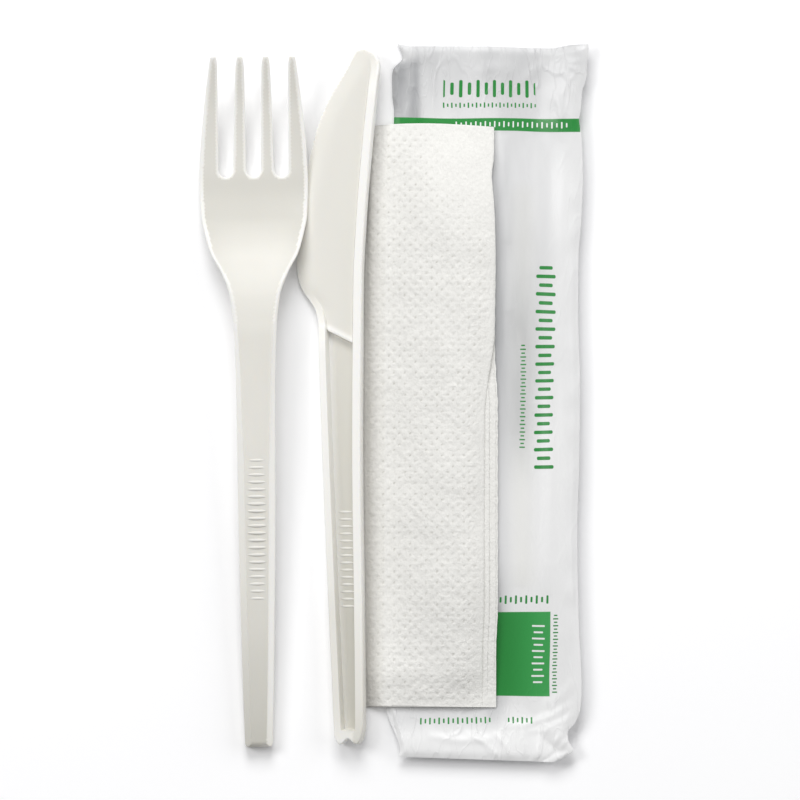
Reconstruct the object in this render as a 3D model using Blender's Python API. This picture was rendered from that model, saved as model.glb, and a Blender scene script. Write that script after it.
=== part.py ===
"""Bioplastic cutlery set, laid out as one overlapping row on a table.

The fork leans on the edge of the knife, the knife leans on the margin of a folded paper
napkin, and the napkin lies over the left half of a sealed film pack. Units are metres,
+Z is up and +Y runs from the handle ends to the tips. The origin is on the table under
the middle of the set.

Each piece is a plan outline, cut into triangles, between a top and a bottom surface.
"""

import math
from bisect import bisect_right

import bmesh
import bpy
from mathutils import Matrix, Vector
from mathutils.geometry import delaunay_2d_cdt

# Clearance between pieces that rest on each other
SEAT_GAP = 0.0004

# How far each piece reaches over the next one to its right
FORK_OVER_KNIFE = 0.0028
KNIFE_OVER_NAPKIN = 0.0036
NAPKIN_OVER_PACK = 0.0256

# Places along +Y of the lower ends, from the lower end of the pack
KNIFE_START = 0.0041
NAPKIN_START = 0.0131

# How far the fork's tips lie below the knife's tip
FORK_BELOW_KNIFE_TIP = 0.0018

# Fork, in its own frame: u across from its middle line, v along from the handle end
FORK_LENGTH = 0.165
FORK_LEAN = math.radians(0.54)
FORK_PLATE = 0.0016
FORK_BOWL_RISE = 0.0024
FORK_SLOT_DEPTH = 0.0289
FORK_TIP_ROUND = 0.0006
FORK_END_ROUND = 0.0008
FORK_ROOF = 0.0014
FORK_WALL = 0.0013
FORK_HOLLOW_START = 0.005
FORK_HOLLOW_DRAFT = 0.00065
FORK_BEVEL = 0.0015
FORK_BEVEL_DROP = 0.0009
FORK_END_DEPTH = 0.0042
FORK_NECK_DEPTH = 0.0024

# Places on the fork by distance from its tips
FORK_DISH_FULL = 0.036
FORK_TINES_START = 0.025
FORK_PLATE_START = 0.050
FORK_HANDLE_END = 0.064
FORK_HOLLOW_END = 0.068
FORK_TINE_FLATTENING = 0.55

# Height of the fork's middle line by distance from the tips, and on the handle from its end
FORK_HEAD_HEIGHTS = (
    (0.0000, 0.0100), (0.0130, 0.0049), (0.0260, 0.0020), (0.0320, 0.0017), (0.0390, 0.0027),
    (0.0470, 0.0053), (0.0590, 0.0095), (0.0650, 0.0098),
)
FORK_HANDLE_HEIGHTS = ((0.0000, 0.0042), (0.0470, 0.0066))

# Half width of the fork's head by distance from the tips, and of its handle from the end
FORK_HEAD_SIDE = (
    (0.0000, 0.0100), (0.0130, 0.0118), (0.0230, 0.0127), (0.0305, 0.0130), (0.0380, 0.0127),
    (0.0430, 0.0117), (0.0470, 0.0105), (0.0517, 0.0080), (0.0573, 0.0060), (0.0640, 0.0052),
)
FORK_HANDLE_SIDE = ((0.0000, 0.0033), (0.0140, 0.0037), (0.0530, 0.0044), (0.0880, 0.0047))

# Tine edges across, by distance from the tips: the middle slot, then the side slots
FORK_SLOT_MIDDLE = ((0.0000, 0.0025), (0.0030, 0.0021), (0.0289, 0.0018))
FORK_SLOT_INNER = ((0.0000, 0.0037), (0.0030, 0.0041), (0.0289, 0.0049))
FORK_SLOT_OUTER = ((0.0000, 0.0088), (0.0030, 0.0085), (0.0289, 0.0084))

# Knife, in its own frame: u across from the line of its back, v along from the butt
KNIFE_LENGTH = 0.1663
KNIFE_WALL_TOP = 0.0045
KNIFE_FLOOR = 0.0012
KNIFE_WALL_LEFT = 0.0021
KNIFE_RIB = 0.0019
KNIFE_WALL_DRAFT = 0.0003
KNIFE_CHANNEL_START = 0.0037
KNIFE_LEDGE_LEFT = 0.0989
KNIFE_LEDGE_SLOPE = 0.49
KNIFE_PLATE = 0.0016
KNIFE_PLATE_BOTTOM = 0.0014
KNIFE_CUTTING_EDGE = 0.0006
KNIFE_BEVEL = 0.0050
KNIFE_RIB_TOP = 0.0044
KNIFE_RIB_BOTTOM = 0.0008
KNIFE_NOTCH = 0.0013
KNIFE_BUTT_ROUND = 0.0019

# Places on the knife by distance from its tip
KNIFE_BLADE_START = 0.0670
KNIFE_NECK_BELOW = 0.006
KNIFE_NECK_ABOVE = 0.009
KNIFE_RIB_FADE = 0.012
KNIFE_RIB_END = 0.001

# The cutting side: handle points by distance from the butt, blade points from the tip
KNIFE_HANDLE_EDGE = ((0.0019, -0.0066), (0.0167, -0.0073), (0.0630, -0.0093), (0.0900, -0.0103))
KNIFE_BLADE_EDGE = (
    (0.0670, -0.0106), (0.0629, -0.0114), (0.0605, -0.0128), (0.0584, -0.0144), (0.0561, -0.0155),
    (0.0523, -0.0161), (0.0463, -0.0162), (0.0393, -0.0156), (0.0323, -0.0143), (0.0258, -0.0129),
    (0.0195, -0.0114), (0.0123, -0.0084), (0.0056, -0.0044), (0.0008, -0.0017),
)

# The back: handle points by distance from the butt, blade points from the tip
KNIFE_HANDLE_BACK = ((0.0019, 0.0000), (0.0045, 0.0004), (0.0289, 0.0002), (0.0704, -0.0003))
KNIFE_BLADE_BACK = (
    (0.0560, 0.0000), (0.0398, 0.0008), (0.0220, 0.0023), (0.0080, 0.0038),
    (0.0046, 0.0041), (0.0033, 0.0040), (0.0014, 0.0030),
)
KNIFE_TIP_ACROSS = 0.0010
KNIFE_TIP_ROUND = 0.0012

# Napkin, folded flat to sixteen layers
NAPKIN_WIDTH = 0.035
NAPKIN_LENGTH = 0.138
NAPKIN_THICKNESS = 0.0024
NAPKIN_MARGIN = 0.0009
NAPKIN_TOP_BULGE = 0.0013
NAPKIN_CORNER = 0.0012
NAPKIN_BLEND = 0.0040
NAPKIN_RAMP = 0.0030

# Film pack with its contents
PACK_WIDTH = 0.0456
PACK_LENGTH = 0.1715
PACK_THICKNESS = 0.0066
PACK_FILM = 0.0008
PACK_SEAL = 0.010
PACK_SHOULDER = 0.022
PACK_SLANT = 0.0013
PACK_CROWN = 2.2

# How far each side of the pack strays to the right, by distance from its lower end
PACK_LEFT_LOW = ((0.0000, 0.0020), (0.0130, -0.0009), (0.0500, 0.0000))
PACK_RIGHT_LOW = ((0.0000, -0.0040), (0.0069, -0.0030), (0.0124, 0.0000), (0.0560, -0.0007))

# The same by distance from its upper end
PACK_LEFT_HIGH = ((0.0000, 0.0020), (0.0082, 0.0007), (0.0195, 0.0012), (0.0600, 0.0000))
PACK_RIGHT_HIGH = (
    (0.0000, 0.0021), (0.0118, 0.0005), (0.0185, -0.0002), (0.0318, 0.0006), (0.0508, -0.0004),
    (0.0820, 0.0000),
)

# Spacing of the inner points of each plan
COARSE_PITCH = 0.0060
FINE_PITCH = 0.0032


def flowing(knots, place):
    """Value at a place on the smooth curve through the knots, which never overshoots."""
    places = [knot[0] for knot in knots]
    if place <= places[0]:
        return knots[0][1]
    if place >= places[-1]:
        return knots[-1][1]
    slopes = [(b[1] - a[1]) / (b[0] - a[0]) for a, b in zip(knots, knots[1:])]

    def knot_slope(index):
        if index in (0, len(knots) - 1):
            return slopes[min(index, len(slopes) - 1)]
        before, after = slopes[index - 1], slopes[index]
        if before * after <= 0.0:
            return 0.0
        return 2.0 * before * after / (before + after)

    index = bisect_right(places, place) - 1
    start, end = knots[index], knots[index + 1]
    span = end[0] - start[0]
    t = (place - start[0]) / span
    return (
        start[1] * (1.0 + 2.0 * t) * (1.0 - t) ** 2
        + end[1] * t * t * (3.0 - 2.0 * t)
        + span * knot_slope(index) * t * (1.0 - t) ** 2
        - span * knot_slope(index + 1) * t * t * (1.0 - t)
    )


def ease(low, high, value):
    """0 below low, 1 above high, and a smooth rise between."""
    t = min(1.0, max(0.0, (value - low) / (high - low)))
    return t * t * (3.0 - 2.0 * t)


def spaced(start, end, count):
    """Evenly spaced values from start to end, both included."""
    return [start + (end - start) * step / (count - 1) for step in range(count)]


def from_tip(knots, length):
    """Knots given by distance from the tip, turned into distances from the other end."""
    return tuple(sorted((length - place, value) for place, value in knots))


def is_inside(point, outline):
    """True where a plan point lies inside a closed outline."""
    x, y = point
    inside = False
    for (ax, ay), (bx, by) in zip(outline, outline[1:] + outline[:1]):
        if (ay > y) != (by > y) and x < (bx - ax) * (y - ay) / (by - ay) + ax:
            inside = not inside
    return inside


def distance_to(point, line):
    """Shortest distance from a plan point to a line of points."""
    px, py = point
    nearest = math.inf
    for (ax, ay), (bx, by) in zip(line, line[1:]):
        dx, dy = bx - ax, by - ay
        along = dx * dx + dy * dy
        t = 0.0 if along == 0.0 else min(1.0, max(0.0, ((px - ax) * dx + (py - ay) * dy) / along))
        nearest = min(nearest, math.hypot(px - ax - t * dx, py - ay - t * dy))
    return nearest


def inner_points(outline, creases, pitch):
    """Staggered points inside the outline that keep clear of it and of the creases."""
    lines = [outline + outline[:1]] + creases
    xs = [point[0] for point in outline]
    ys = [point[1] for point in outline]
    rows = int((max(ys) - min(ys)) / pitch) + 1
    columns = int((max(xs) - min(xs)) / pitch) + 1
    points = []
    for row in range(rows):
        for column in range(columns):
            x = min(xs) + (column + 0.5 * (row % 2) + 0.25) * pitch
            point = (x, min(ys) + (row + 0.5) * pitch)
            if not is_inside(point, outline):
                continue
            if min(distance_to(point, line) for line in lines) > 0.45 * pitch:
                points.append(point)
    return points


def plan_solid(name, outline, creases, pitch, top, bottom, material):
    """Closed solid on a plan outline, between the top and the bottom surface.

    Both surfaces are folded along the creases, which are lines of plan points.
    """
    points = list(outline)
    edges = [(i, (i + 1) % len(outline)) for i in range(len(outline))]
    for line in creases:
        first = len(points)
        points += line
        edges += [(first + i, first + i + 1) for i in range(len(line) - 1)]
    points += inner_points(outline, creases, pitch)
    plan = delaunay_2d_cdt([Vector(point) for point in points], edges, [], 1, 1e-7)
    corners, triangles = plan[0], plan[2]

    mesh = bmesh.new()
    upper = [mesh.verts.new((p.x, p.y, top(p.x, p.y))) for p in corners]
    lower = [mesh.verts.new((p.x, p.y, bottom(p.x, p.y))) for p in corners]
    for triangle in triangles:
        mesh.faces.new([upper[i] for i in triangle])
        mesh.faces.new([lower[i] for i in reversed(triangle)])
    partner = dict(zip(upper, lower))
    for edge in [edge for edge in mesh.edges if edge.is_boundary and edge.verts[0] in partner]:
        a, b = edge.verts
        mesh.faces.new((a, b, partner[b], partner[a]))
    bmesh.ops.delete(mesh, geom=[v for v in mesh.verts if not v.link_faces], context="VERTS")
    bmesh.ops.recalc_face_normals(mesh, faces=mesh.faces)
    data = bpy.data.meshes.new(name)
    mesh.to_mesh(data)
    mesh.free()
    data.materials.append(material)
    data.shade_smooth()
    data.set_sharp_from_angle(angle=math.radians(40.0))
    piece = bpy.data.objects.new(name, data)
    bpy.context.scene.collection.objects.link(piece)
    return piece


def finish(name, colour, roughness):
    """Plain Principled material."""
    material = bpy.data.materials.new(name)
    material.use_nodes = True
    shader = material.node_tree.nodes["Principled BSDF"]
    shader.inputs["Base Color"].default_value = (*colour, 1.0)
    shader.inputs["Roughness"].default_value = roughness
    shader.inputs["Metallic"].default_value = 0.0
    return material


def fork_half(v):
    """Half width of the fork at a distance from its handle end."""
    return flowing(FORK_HANDLE_SIDE + from_tip(FORK_HEAD_SIDE, FORK_LENGTH), v)


def fork_middle_top(v):
    """Height of the fork's top surface on its middle line."""
    return flowing(FORK_HANDLE_HEIGHTS + from_tip(FORK_HEAD_HEIGHTS, FORK_LENGTH), v)


def fork_handle_share(v):
    """1 on the handle, 0 on the head, with the change at the neck."""
    return ease(FORK_PLATE_START, FORK_HANDLE_END, FORK_LENGTH - v)


def fork_top(u, v):
    """Top surface: a dished head that runs into a handle with bevelled sides."""
    half = fork_half(v)
    from_tips = FORK_LENGTH - v
    across = min(1.0, abs(u) / half)
    dish = FORK_BOWL_RISE * across**2 * (1.0 - ease(FORK_DISH_FULL, FORK_HANDLE_END, from_tips))
    dish *= 1.0 - FORK_TINE_FLATTENING * (1.0 - ease(0.0, FORK_TINES_START, from_tips))
    bevel = FORK_BEVEL_DROP * min(1.0, max(0.0, abs(u) - half + FORK_BEVEL) / FORK_BEVEL)
    return fork_middle_top(v) + dish - fork_handle_share(v) * bevel


def fork_hollow(u, v):
    """1 inside the hollow under the handle, 0 outside it, with drafted sides."""
    end = FORK_LENGTH - FORK_HOLLOW_END
    room = min(fork_half(v) - FORK_WALL - abs(u), v - FORK_HOLLOW_START, end - v)
    return min(1.0, max(0.0, room / FORK_HOLLOW_DRAFT))


def fork_bottom(u, v):
    """Bottom surface: an even plate under the head, side walls and a hollow under the handle."""
    top = fork_top(u, v)
    handle = fork_handle_share(v)
    along = ease(0.0, FORK_LENGTH - FORK_HANDLE_END, v)
    base = fork_middle_top(v) - FORK_END_DEPTH - (FORK_NECK_DEPTH - FORK_END_DEPTH) * along
    base += (top - FORK_ROOF - base) * fork_hollow(u, v)
    return base * handle + (top - FORK_PLATE) * (1.0 - handle)


def tine_tip(inner, outer, side):
    """Round end of one tine, from its outer to its inner edge, at +u or mirrored to -u."""
    middle, reach = 0.5 * (inner + outer), 0.5 * (outer - inner)
    tip = []
    for angle in spaced(0.0, math.pi, 5):
        tip.append((
            side * (middle + reach * math.cos(angle)),
            FORK_LENGTH - FORK_TIP_ROUND * (1.0 - math.sin(angle)),
        ))
    return tip


def slot_root(low, high):
    """Round bottom of one slot, from its high-u to its low-u side."""
    middle, reach = 0.5 * (low + high), 0.5 * (high - low)
    bottom = FORK_LENGTH - FORK_SLOT_DEPTH
    root = []
    for angle in spaced(0.0, math.pi, 7):
        root.append((middle + reach * math.cos(angle), bottom + reach * (1.0 - math.sin(angle))))
    return root


def fork_outline():
    """Plan of the fork, from the right end corner round the tines to the left end corner."""
    slot_stations = [FORK_LENGTH - share * FORK_SLOT_DEPTH for share in (0.1, 0.25, 0.6)]
    handle_end = FORK_LENGTH - FORK_HANDLE_END
    stations = spaced(FORK_END_ROUND, handle_end, 9)[:-1]
    stations += spaced(handle_end, FORK_LENGTH - FORK_TIP_ROUND, 22)[:-1]
    right = [(fork_half(v), v) for v in stations]

    edges = [
        from_tip(knots, FORK_LENGTH) for knots in (FORK_SLOT_MIDDLE, FORK_SLOT_INNER, FORK_SLOT_OUTER)
    ]
    middle, inner, outer = edges
    tips = [flowing(edge, FORK_LENGTH) for edge in edges]
    roots = [flowing(edge, FORK_LENGTH - FORK_SLOT_DEPTH) for edge in edges]

    half = right + tine_tip(tips[2], fork_half(FORK_LENGTH), 1.0)
    half += [(flowing(outer, v), v) for v in slot_stations]
    half += slot_root(roots[1], roots[2])
    half += [(flowing(inner, v), v) for v in reversed(slot_stations)]
    half += tine_tip(tips[0], tips[1], 1.0)
    half += [(flowing(middle, v), v) for v in slot_stations]
    root = slot_root(-roots[0], roots[0])
    left = [(-u, v) for u, v in reversed(half)]
    corner = FORK_END_ROUND
    end = [(corner - fork_half(0.0), 0.0), (fork_half(0.0) - corner, 0.0)]
    return half + root + left + end


def fork_creases():
    """Bevel and hollow edges under and over the handle, as lines of plan points."""
    lines = []
    stations = spaced(0.5 * FORK_HOLLOW_START, FORK_LENGTH - FORK_HANDLE_END, 9)
    for side in (-1.0, 1.0):
        lines.append([(side * (fork_half(v) - FORK_BEVEL), v) for v in stations])
    for draft in (0.0, FORK_HOLLOW_DRAFT):
        rail = spaced(FORK_HOLLOW_START + draft, FORK_LENGTH - FORK_HOLLOW_END - draft, 9)
        loop = [(fork_half(v) - FORK_WALL - draft, v) for v in rail]
        loop += [(FORK_WALL + draft - fork_half(v), v) for v in reversed(rail)]
        lines.append(loop + loop[:1])
    return lines


def knife_edge(v):
    """Place across of the cutting side."""
    return flowing(KNIFE_HANDLE_EDGE + from_tip(KNIFE_BLADE_EDGE, KNIFE_LENGTH), v)


def knife_back(v):
    """Place across of the back."""
    return flowing(KNIFE_HANDLE_BACK + from_tip(KNIFE_BLADE_BACK, KNIFE_LENGTH), v)


def knife_butt():
    """Butt end with two round lobes and a notch between them, from the cutting side to the back."""
    left, right = knife_edge(0.0), knife_back(0.0)
    notch_half, lobe = 0.3, 0.2
    points = []
    for t in spaced(0.0, 1.0, 15)[1:-1]:
        off = abs(t - 0.5)
        if off < notch_half:
            v = KNIFE_NOTCH * math.cos(0.5 * math.pi * off / notch_half) ** 2
        else:
            v = KNIFE_BUTT_ROUND * ((off - notch_half) / lobe) ** 2
        points.append((left + (right - left) * t, v))
    return points


def knife_outline():
    """Plan of the knife, counter-clockwise from the butt."""
    neck = KNIFE_LENGTH - KNIFE_BLADE_START - 0.5 * KNIFE_NECK_BELOW
    neck_end = KNIFE_LENGTH - KNIFE_BLADE_START + 2.0 * KNIFE_NECK_ABOVE
    back_end, edge_end = KNIFE_BLADE_BACK[-1][0], KNIFE_BLADE_EDGE[-1][0]
    back = spaced(KNIFE_BUTT_ROUND, neck, 10)[:-1] + spaced(neck, KNIFE_LENGTH - KNIFE_RIB_FADE, 9)[:-1]
    back += spaced(KNIFE_LENGTH - KNIFE_RIB_FADE, KNIFE_LENGTH - back_end, 7)
    edge = spaced(KNIFE_BUTT_ROUND, neck, 9)[:-1] + spaced(neck, neck_end, 13)[:-1]
    edge += spaced(neck_end, KNIFE_LENGTH - edge_end, 13)
    outline = knife_butt()
    outline += [(knife_back(v), v) for v in back]
    outline += [
        (KNIFE_TIP_ACROSS + KNIFE_TIP_ROUND, KNIFE_LENGTH - 0.5 * edge_end),
        (KNIFE_TIP_ACROSS, KNIFE_LENGTH),
        (KNIFE_TIP_ACROSS - KNIFE_TIP_ROUND, KNIFE_LENGTH - 0.25 * edge_end),
    ]
    outline += [(knife_edge(v), v) for v in reversed(edge)]
    return outline


def knife_ledge(u):
    """Place along the knife where the blade's plate ends in a slanting ledge."""
    start = knife_edge(KNIFE_LEDGE_LEFT) + KNIFE_WALL_LEFT
    return KNIFE_LEDGE_LEFT - KNIFE_LEDGE_SLOPE * (u - start)


def drafted(height):
    """Share of a drafted wall at a distance up its slope: 0 at its foot and 1 at its top."""
    return min(1.0, max(0.0, height / KNIFE_WALL_DRAFT))


def knife_blade_share(v):
    """0 on the handle, 1 on the blade."""
    start = KNIFE_LENGTH - KNIFE_BLADE_START
    return ease(start - KNIFE_NECK_BELOW, start + KNIFE_NECK_ABOVE, v)


def knife_tip_share(v):
    """0 along the knife, 1 at its tip, where the rib has run out."""
    return ease(KNIFE_LENGTH - KNIFE_RIB_FADE, KNIFE_LENGTH - KNIFE_RIB_END, v)


def knife_plate_top(u, v):
    """Top of the plate, which thins towards the cutting edge along the blade."""
    thin = 1.0 - min(1.0, max(0.0, u - knife_edge(v)) / KNIFE_BEVEL)
    thickness = KNIFE_PLATE - (KNIFE_PLATE - KNIFE_CUTTING_EDGE) * thin * knife_blade_share(v)
    return KNIFE_PLATE_BOTTOM + thickness


def knife_rib_share(u, v):
    """1 on the rib along the back, 0 beside it."""
    return drafted(u - knife_back(v) + KNIFE_RIB + KNIFE_WALL_DRAFT)


def knife_top(u, v):
    """Top surface: channelled handle, flat blade, and a rib along the back."""
    blade = knife_blade_share(v)
    plate = knife_plate_top(u, v)
    level = KNIFE_FLOOR + (plate - KNIFE_FLOOR) * drafted(v - knife_ledge(u) + KNIFE_WALL_DRAFT)
    wall_top = KNIFE_WALL_TOP + (plate - KNIFE_WALL_TOP) * blade
    rib_top = KNIFE_WALL_TOP + (KNIFE_RIB_TOP - KNIFE_WALL_TOP) * blade
    rib_top += (plate - rib_top) * knife_tip_share(v)
    return max(
        level,
        level + (wall_top - level) * drafted(knife_edge(v) + KNIFE_WALL_LEFT - u),
        level + (KNIFE_WALL_TOP - level) * drafted(KNIFE_CHANNEL_START - v),
        level + (rib_top - level) * knife_rib_share(u, v),
    )


def knife_bottom(u, v):
    """Bottom surface: flat under the handle, lifted under the blade."""
    rib = knife_rib_share(u, v) * (1.0 - knife_tip_share(v))
    under = KNIFE_PLATE_BOTTOM + (KNIFE_RIB_BOTTOM - KNIFE_PLATE_BOTTOM) * rib
    return under * knife_blade_share(v)


def knife_creases():
    """Edges of the walls, the ledge, the rib and the cutting bevel, as lines of plan points."""
    neck_end = KNIFE_LENGTH - KNIFE_BLADE_START + KNIFE_NECK_ABOVE
    rib_end = KNIFE_LENGTH - 3.0 * KNIFE_RIB_END
    across = knife_back(KNIFE_LEDGE_LEFT) - KNIFE_RIB - knife_edge(KNIFE_LEDGE_LEFT) - KNIFE_WALL_LEFT
    ledge_right = KNIFE_LEDGE_LEFT - KNIFE_LEDGE_SLOPE * across
    lines = []
    for foot in (0.0, KNIFE_WALL_DRAFT):
        start = KNIFE_CHANNEL_START - KNIFE_WALL_DRAFT + foot
        wall = KNIFE_WALL_LEFT - KNIFE_WALL_DRAFT + foot
        stations = spaced(start, KNIFE_LEDGE_LEFT - KNIFE_WALL_DRAFT, 9)
        stations += spaced(KNIFE_LEDGE_LEFT, neck_end, 6)
        left = [(knife_edge(v) + wall, v) for v in stations]
        stations = spaced(start, ledge_right - KNIFE_WALL_DRAFT, 9)
        stations += spaced(ledge_right, rib_end, 12)
        right = [(knife_back(v) - KNIFE_RIB - foot, v) for v in stations]
        lines += [left, right, [left[0], right[0]]]
    for v_left, v_right in (
        (KNIFE_LEDGE_LEFT, ledge_right),
        (KNIFE_LEDGE_LEFT - KNIFE_WALL_DRAFT, ledge_right - KNIFE_WALL_DRAFT),
    ):
        lines.append([
            (knife_edge(v_left) + KNIFE_WALL_LEFT, v_left),
            (knife_back(v_right) - KNIFE_RIB - KNIFE_WALL_DRAFT, v_right),
        ])
    stations = spaced(neck_end + KNIFE_BEVEL, KNIFE_LENGTH - 2.0 * KNIFE_BEVEL, 9)
    lines.append([(knife_edge(v) + KNIFE_BEVEL, v) for v in stations])
    return lines


def pack_side(v, share):
    """Place across on the pack at a share of the way from its left to its right side."""
    left = flowing(PACK_LEFT_LOW + from_tip(PACK_LEFT_HIGH, PACK_LENGTH), v)
    right = PACK_WIDTH + flowing(PACK_RIGHT_LOW + from_tip(PACK_RIGHT_HIGH, PACK_LENGTH), v)
    return left + (right - left) * share


def pack_outline():
    """Plan of the pack, counter-clockwise from its lower right corner."""
    shoulder = PACK_SEAL + PACK_SHOULDER
    stations = spaced(PACK_SLANT, shoulder, 10)[:-1]
    stations += spaced(shoulder, PACK_LENGTH - shoulder, 11)[:-1]
    stations += spaced(PACK_LENGTH - shoulder, PACK_LENGTH, 10)
    shares = spaced(0.0, 1.0, 9)[1:-1]
    outline = [(pack_side(0.0, 1.0), 0.0)]
    outline += [(pack_side(v, 1.0), v) for v in stations]
    outline += [(pack_side(PACK_LENGTH, share), PACK_LENGTH) for share in reversed(shares)]
    outline += [(pack_side(v, 0.0), v) for v in reversed(stations)]
    outline += [(pack_side(0.0, share), PACK_SLANT * (1.0 - share)) for share in shares]
    return outline


def pack_crown(x, v):
    """Height of the filled pack at a place across, away from its ends."""
    left, right = pack_side(v, 0.0), pack_side(v, 1.0)
    off = abs(2.0 * (x - left) / (right - left) - 1.0)
    return PACK_FILM + (PACK_THICKNESS - PACK_FILM) * max(0.0, 1.0 - off**PACK_CROWN)


def pack_top(x, v):
    """Top surface: a low pillow between two flat end seals."""
    end = ease(PACK_SEAL, PACK_SEAL + PACK_SHOULDER, min(v, PACK_LENGTH - v))
    return PACK_FILM + (pack_crown(x, v) - PACK_FILM) * end


def pack_bottom(_x, _v):
    """Bottom surface: flat on the table."""
    return 0.0


def pack_creases():
    """Inner edges of the two end seals."""
    lines = []
    for v in (PACK_SEAL, PACK_LENGTH - PACK_SEAL):
        lines.append([(pack_side(v, share), v) for share in spaced(0.03, 0.97, 9)])
    return lines


def napkin_left():
    """Place across of the napkin's left edge, from the pack's left edge at 0."""
    return NAPKIN_OVER_PACK - NAPKIN_WIDTH


def napkin_outline():
    """Plan of the napkin, with small round corners and a slightly bulging upper edge."""
    left, right = napkin_left(), napkin_left() + NAPKIN_WIDTH
    cut = 0.3 * NAPKIN_CORNER
    low, high = 0.0, NAPKIN_LENGTH
    outline = [(left + NAPKIN_CORNER, low), (right - NAPKIN_CORNER, low), (right - cut, cut)]
    outline += [(right, v) for v in spaced(NAPKIN_CORNER, high - NAPKIN_CORNER, 9)]
    outline.append((right - cut, high - cut))
    for x in spaced(right - NAPKIN_CORNER, left + NAPKIN_CORNER, 9):
        t = (x - left) / NAPKIN_WIDTH
        outline.append((x, high + NAPKIN_TOP_BULGE * 4.0 * t * (1.0 - t)))
    outline.append((left + cut, high - cut))
    outline += [(left, v) for v in spaced(high - NAPKIN_CORNER, NAPKIN_CORNER, 9)]
    outline.append((left + cut, cut))
    return outline


def napkin_bottom(x, v):
    """Bottom surface: on the table at the left, then up and over the pack."""
    beside = pack_side(v + NAPKIN_START, 0.0)
    ramp = ease(beside - NAPKIN_RAMP, beside - SEAT_GAP, x)
    return ramp * (pack_crown(max(x, beside), v + NAPKIN_START) + SEAT_GAP)


def napkin_top(x, v):
    """Top surface: full thickness, except for the margin that the knife presses down."""
    start = napkin_left() + KNIFE_OVER_NAPKIN + SEAT_GAP
    full = ease(start, start + NAPKIN_BLEND, x)
    return napkin_bottom(x, v) + NAPKIN_MARGIN + (NAPKIN_THICKNESS - NAPKIN_MARGIN) * full


def napkin_creases():
    """Lines where the napkin bends: at the pressed margin and at the pack's side."""
    start = napkin_left() + KNIFE_OVER_NAPKIN + SEAT_GAP
    stations = spaced(0.5 * SEAT_GAP, NAPKIN_LENGTH - 0.5 * SEAT_GAP, 17)
    lines = [[(start + step, v) for v in stations] for step in spaced(0.0, NAPKIN_BLEND, 3)]
    for step in (-0.5 * NAPKIN_RAMP, -SEAT_GAP, NAPKIN_RAMP):
        lines.append([(pack_side(v + NAPKIN_START, 0.0) + step, v) for v in stations])
    return lines


def lay_knife(knife):
    """Place the knife so that it leans on the napkin's margin, and return its placement.

    It pivots on the lower left edge of its handle, which stands on the table.
    """
    pivot = min(knife_edge(v) for v in spaced(0.0, KNIFE_LEDGE_LEFT, 12))
    back = napkin_left() + KNIFE_OVER_NAPKIN
    lean = math.atan2(NAPKIN_MARGIN + SEAT_GAP, napkin_left() - back - pivot)
    turn = Matrix.Rotation(-lean, 4, "Y")
    lowest = min((turn @ vertex.co).z for vertex in knife.data.vertices)
    knife.matrix_world = Matrix.Translation((back, KNIFE_START, -lowest)) @ turn
    return knife.matrix_world.copy()


def lay_fork(fork, knife, knife_place):
    """Place the fork so that the rim of its head leans on the knife's cutting edge."""
    corners = [knife_place @ vertex.co for vertex in knife.data.vertices]
    edge = min(corner.x for corner in corners)
    widest = max(half for _, half in FORK_HEAD_SIDE)
    head_v = next(FORK_LENGTH - place for place, half in FORK_HEAD_SIDE if half == widest)
    axis_at_head = edge + FORK_OVER_KNIFE - widest
    start_y = KNIFE_START + KNIFE_LENGTH - FORK_BELOW_KNIFE_TIP - FORK_LENGTH
    start = Vector((axis_at_head + head_v * math.sin(FORK_LEAN), start_y, 0.0))
    placed = Matrix.Translation(start) @ Matrix.Rotation(FORK_LEAN, 4, "Z")
    back = placed.inverted()
    lean = 0.0
    for corner in corners:
        spot = back @ corner
        if 0.0 < spot.y < FORK_LENGTH and 0.0 < spot.x < fork_half(spot.y) + SEAT_GAP:
            need = corner.z + SEAT_GAP - fork_bottom(min(spot.x, fork_half(spot.y)), spot.y)
            lean = max(lean, math.atan2(need, spot.x))
    turned = placed @ Matrix.Rotation(-lean, 4, "Y")
    lowest = min((turned @ vertex.co).z for vertex in fork.data.vertices)
    fork.matrix_world = Matrix.Translation((0.0, 0.0, -lowest)) @ turned


def centre_set(pieces):
    """Shift all pieces together so that the origin is under the middle of their box."""
    bpy.context.view_layer.update()
    corners = [piece.matrix_world @ v.co for piece in pieces for v in piece.data.vertices]
    middle = [0.5 * (min(c[axis] for c in corners) + max(c[axis] for c in corners)) for axis in (0, 1)]
    shift = Matrix.Translation((-middle[0], -middle[1], 0.0))
    for piece in pieces:
        piece.matrix_world = shift @ piece.matrix_world


def build():
    """Model the four pieces and lay them out."""
    for stale in list(bpy.data.objects):
        bpy.data.objects.remove(stale, do_unlink=True)
    bioplastic = finish("bioplastic", (0.80, 0.79, 0.74), 0.38)
    tissue = finish("tissue_paper", (0.82, 0.81, 0.78), 0.95)
    film = finish("printed_film", (0.84, 0.85, 0.85), 0.25)

    fork = plan_solid(
        "fork", fork_outline(), fork_creases(), FINE_PITCH, fork_top, fork_bottom, bioplastic
    )
    knife = plan_solid(
        "knife", knife_outline(), knife_creases(), FINE_PITCH, knife_top, knife_bottom, bioplastic
    )
    napkin = plan_solid(
        "napkin", napkin_outline(), napkin_creases(), COARSE_PITCH, napkin_top, napkin_bottom, tissue
    )
    napkin.location = (0.0, NAPKIN_START, 0.0)
    pack = plan_solid(
        "film_pack", pack_outline(), pack_creases(), COARSE_PITCH, pack_top, pack_bottom, film
    )
    bpy.context.view_layer.update()
    lay_fork(fork, knife, lay_knife(knife))
    centre_set([fork, knife, napkin, pack])


build()
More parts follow.
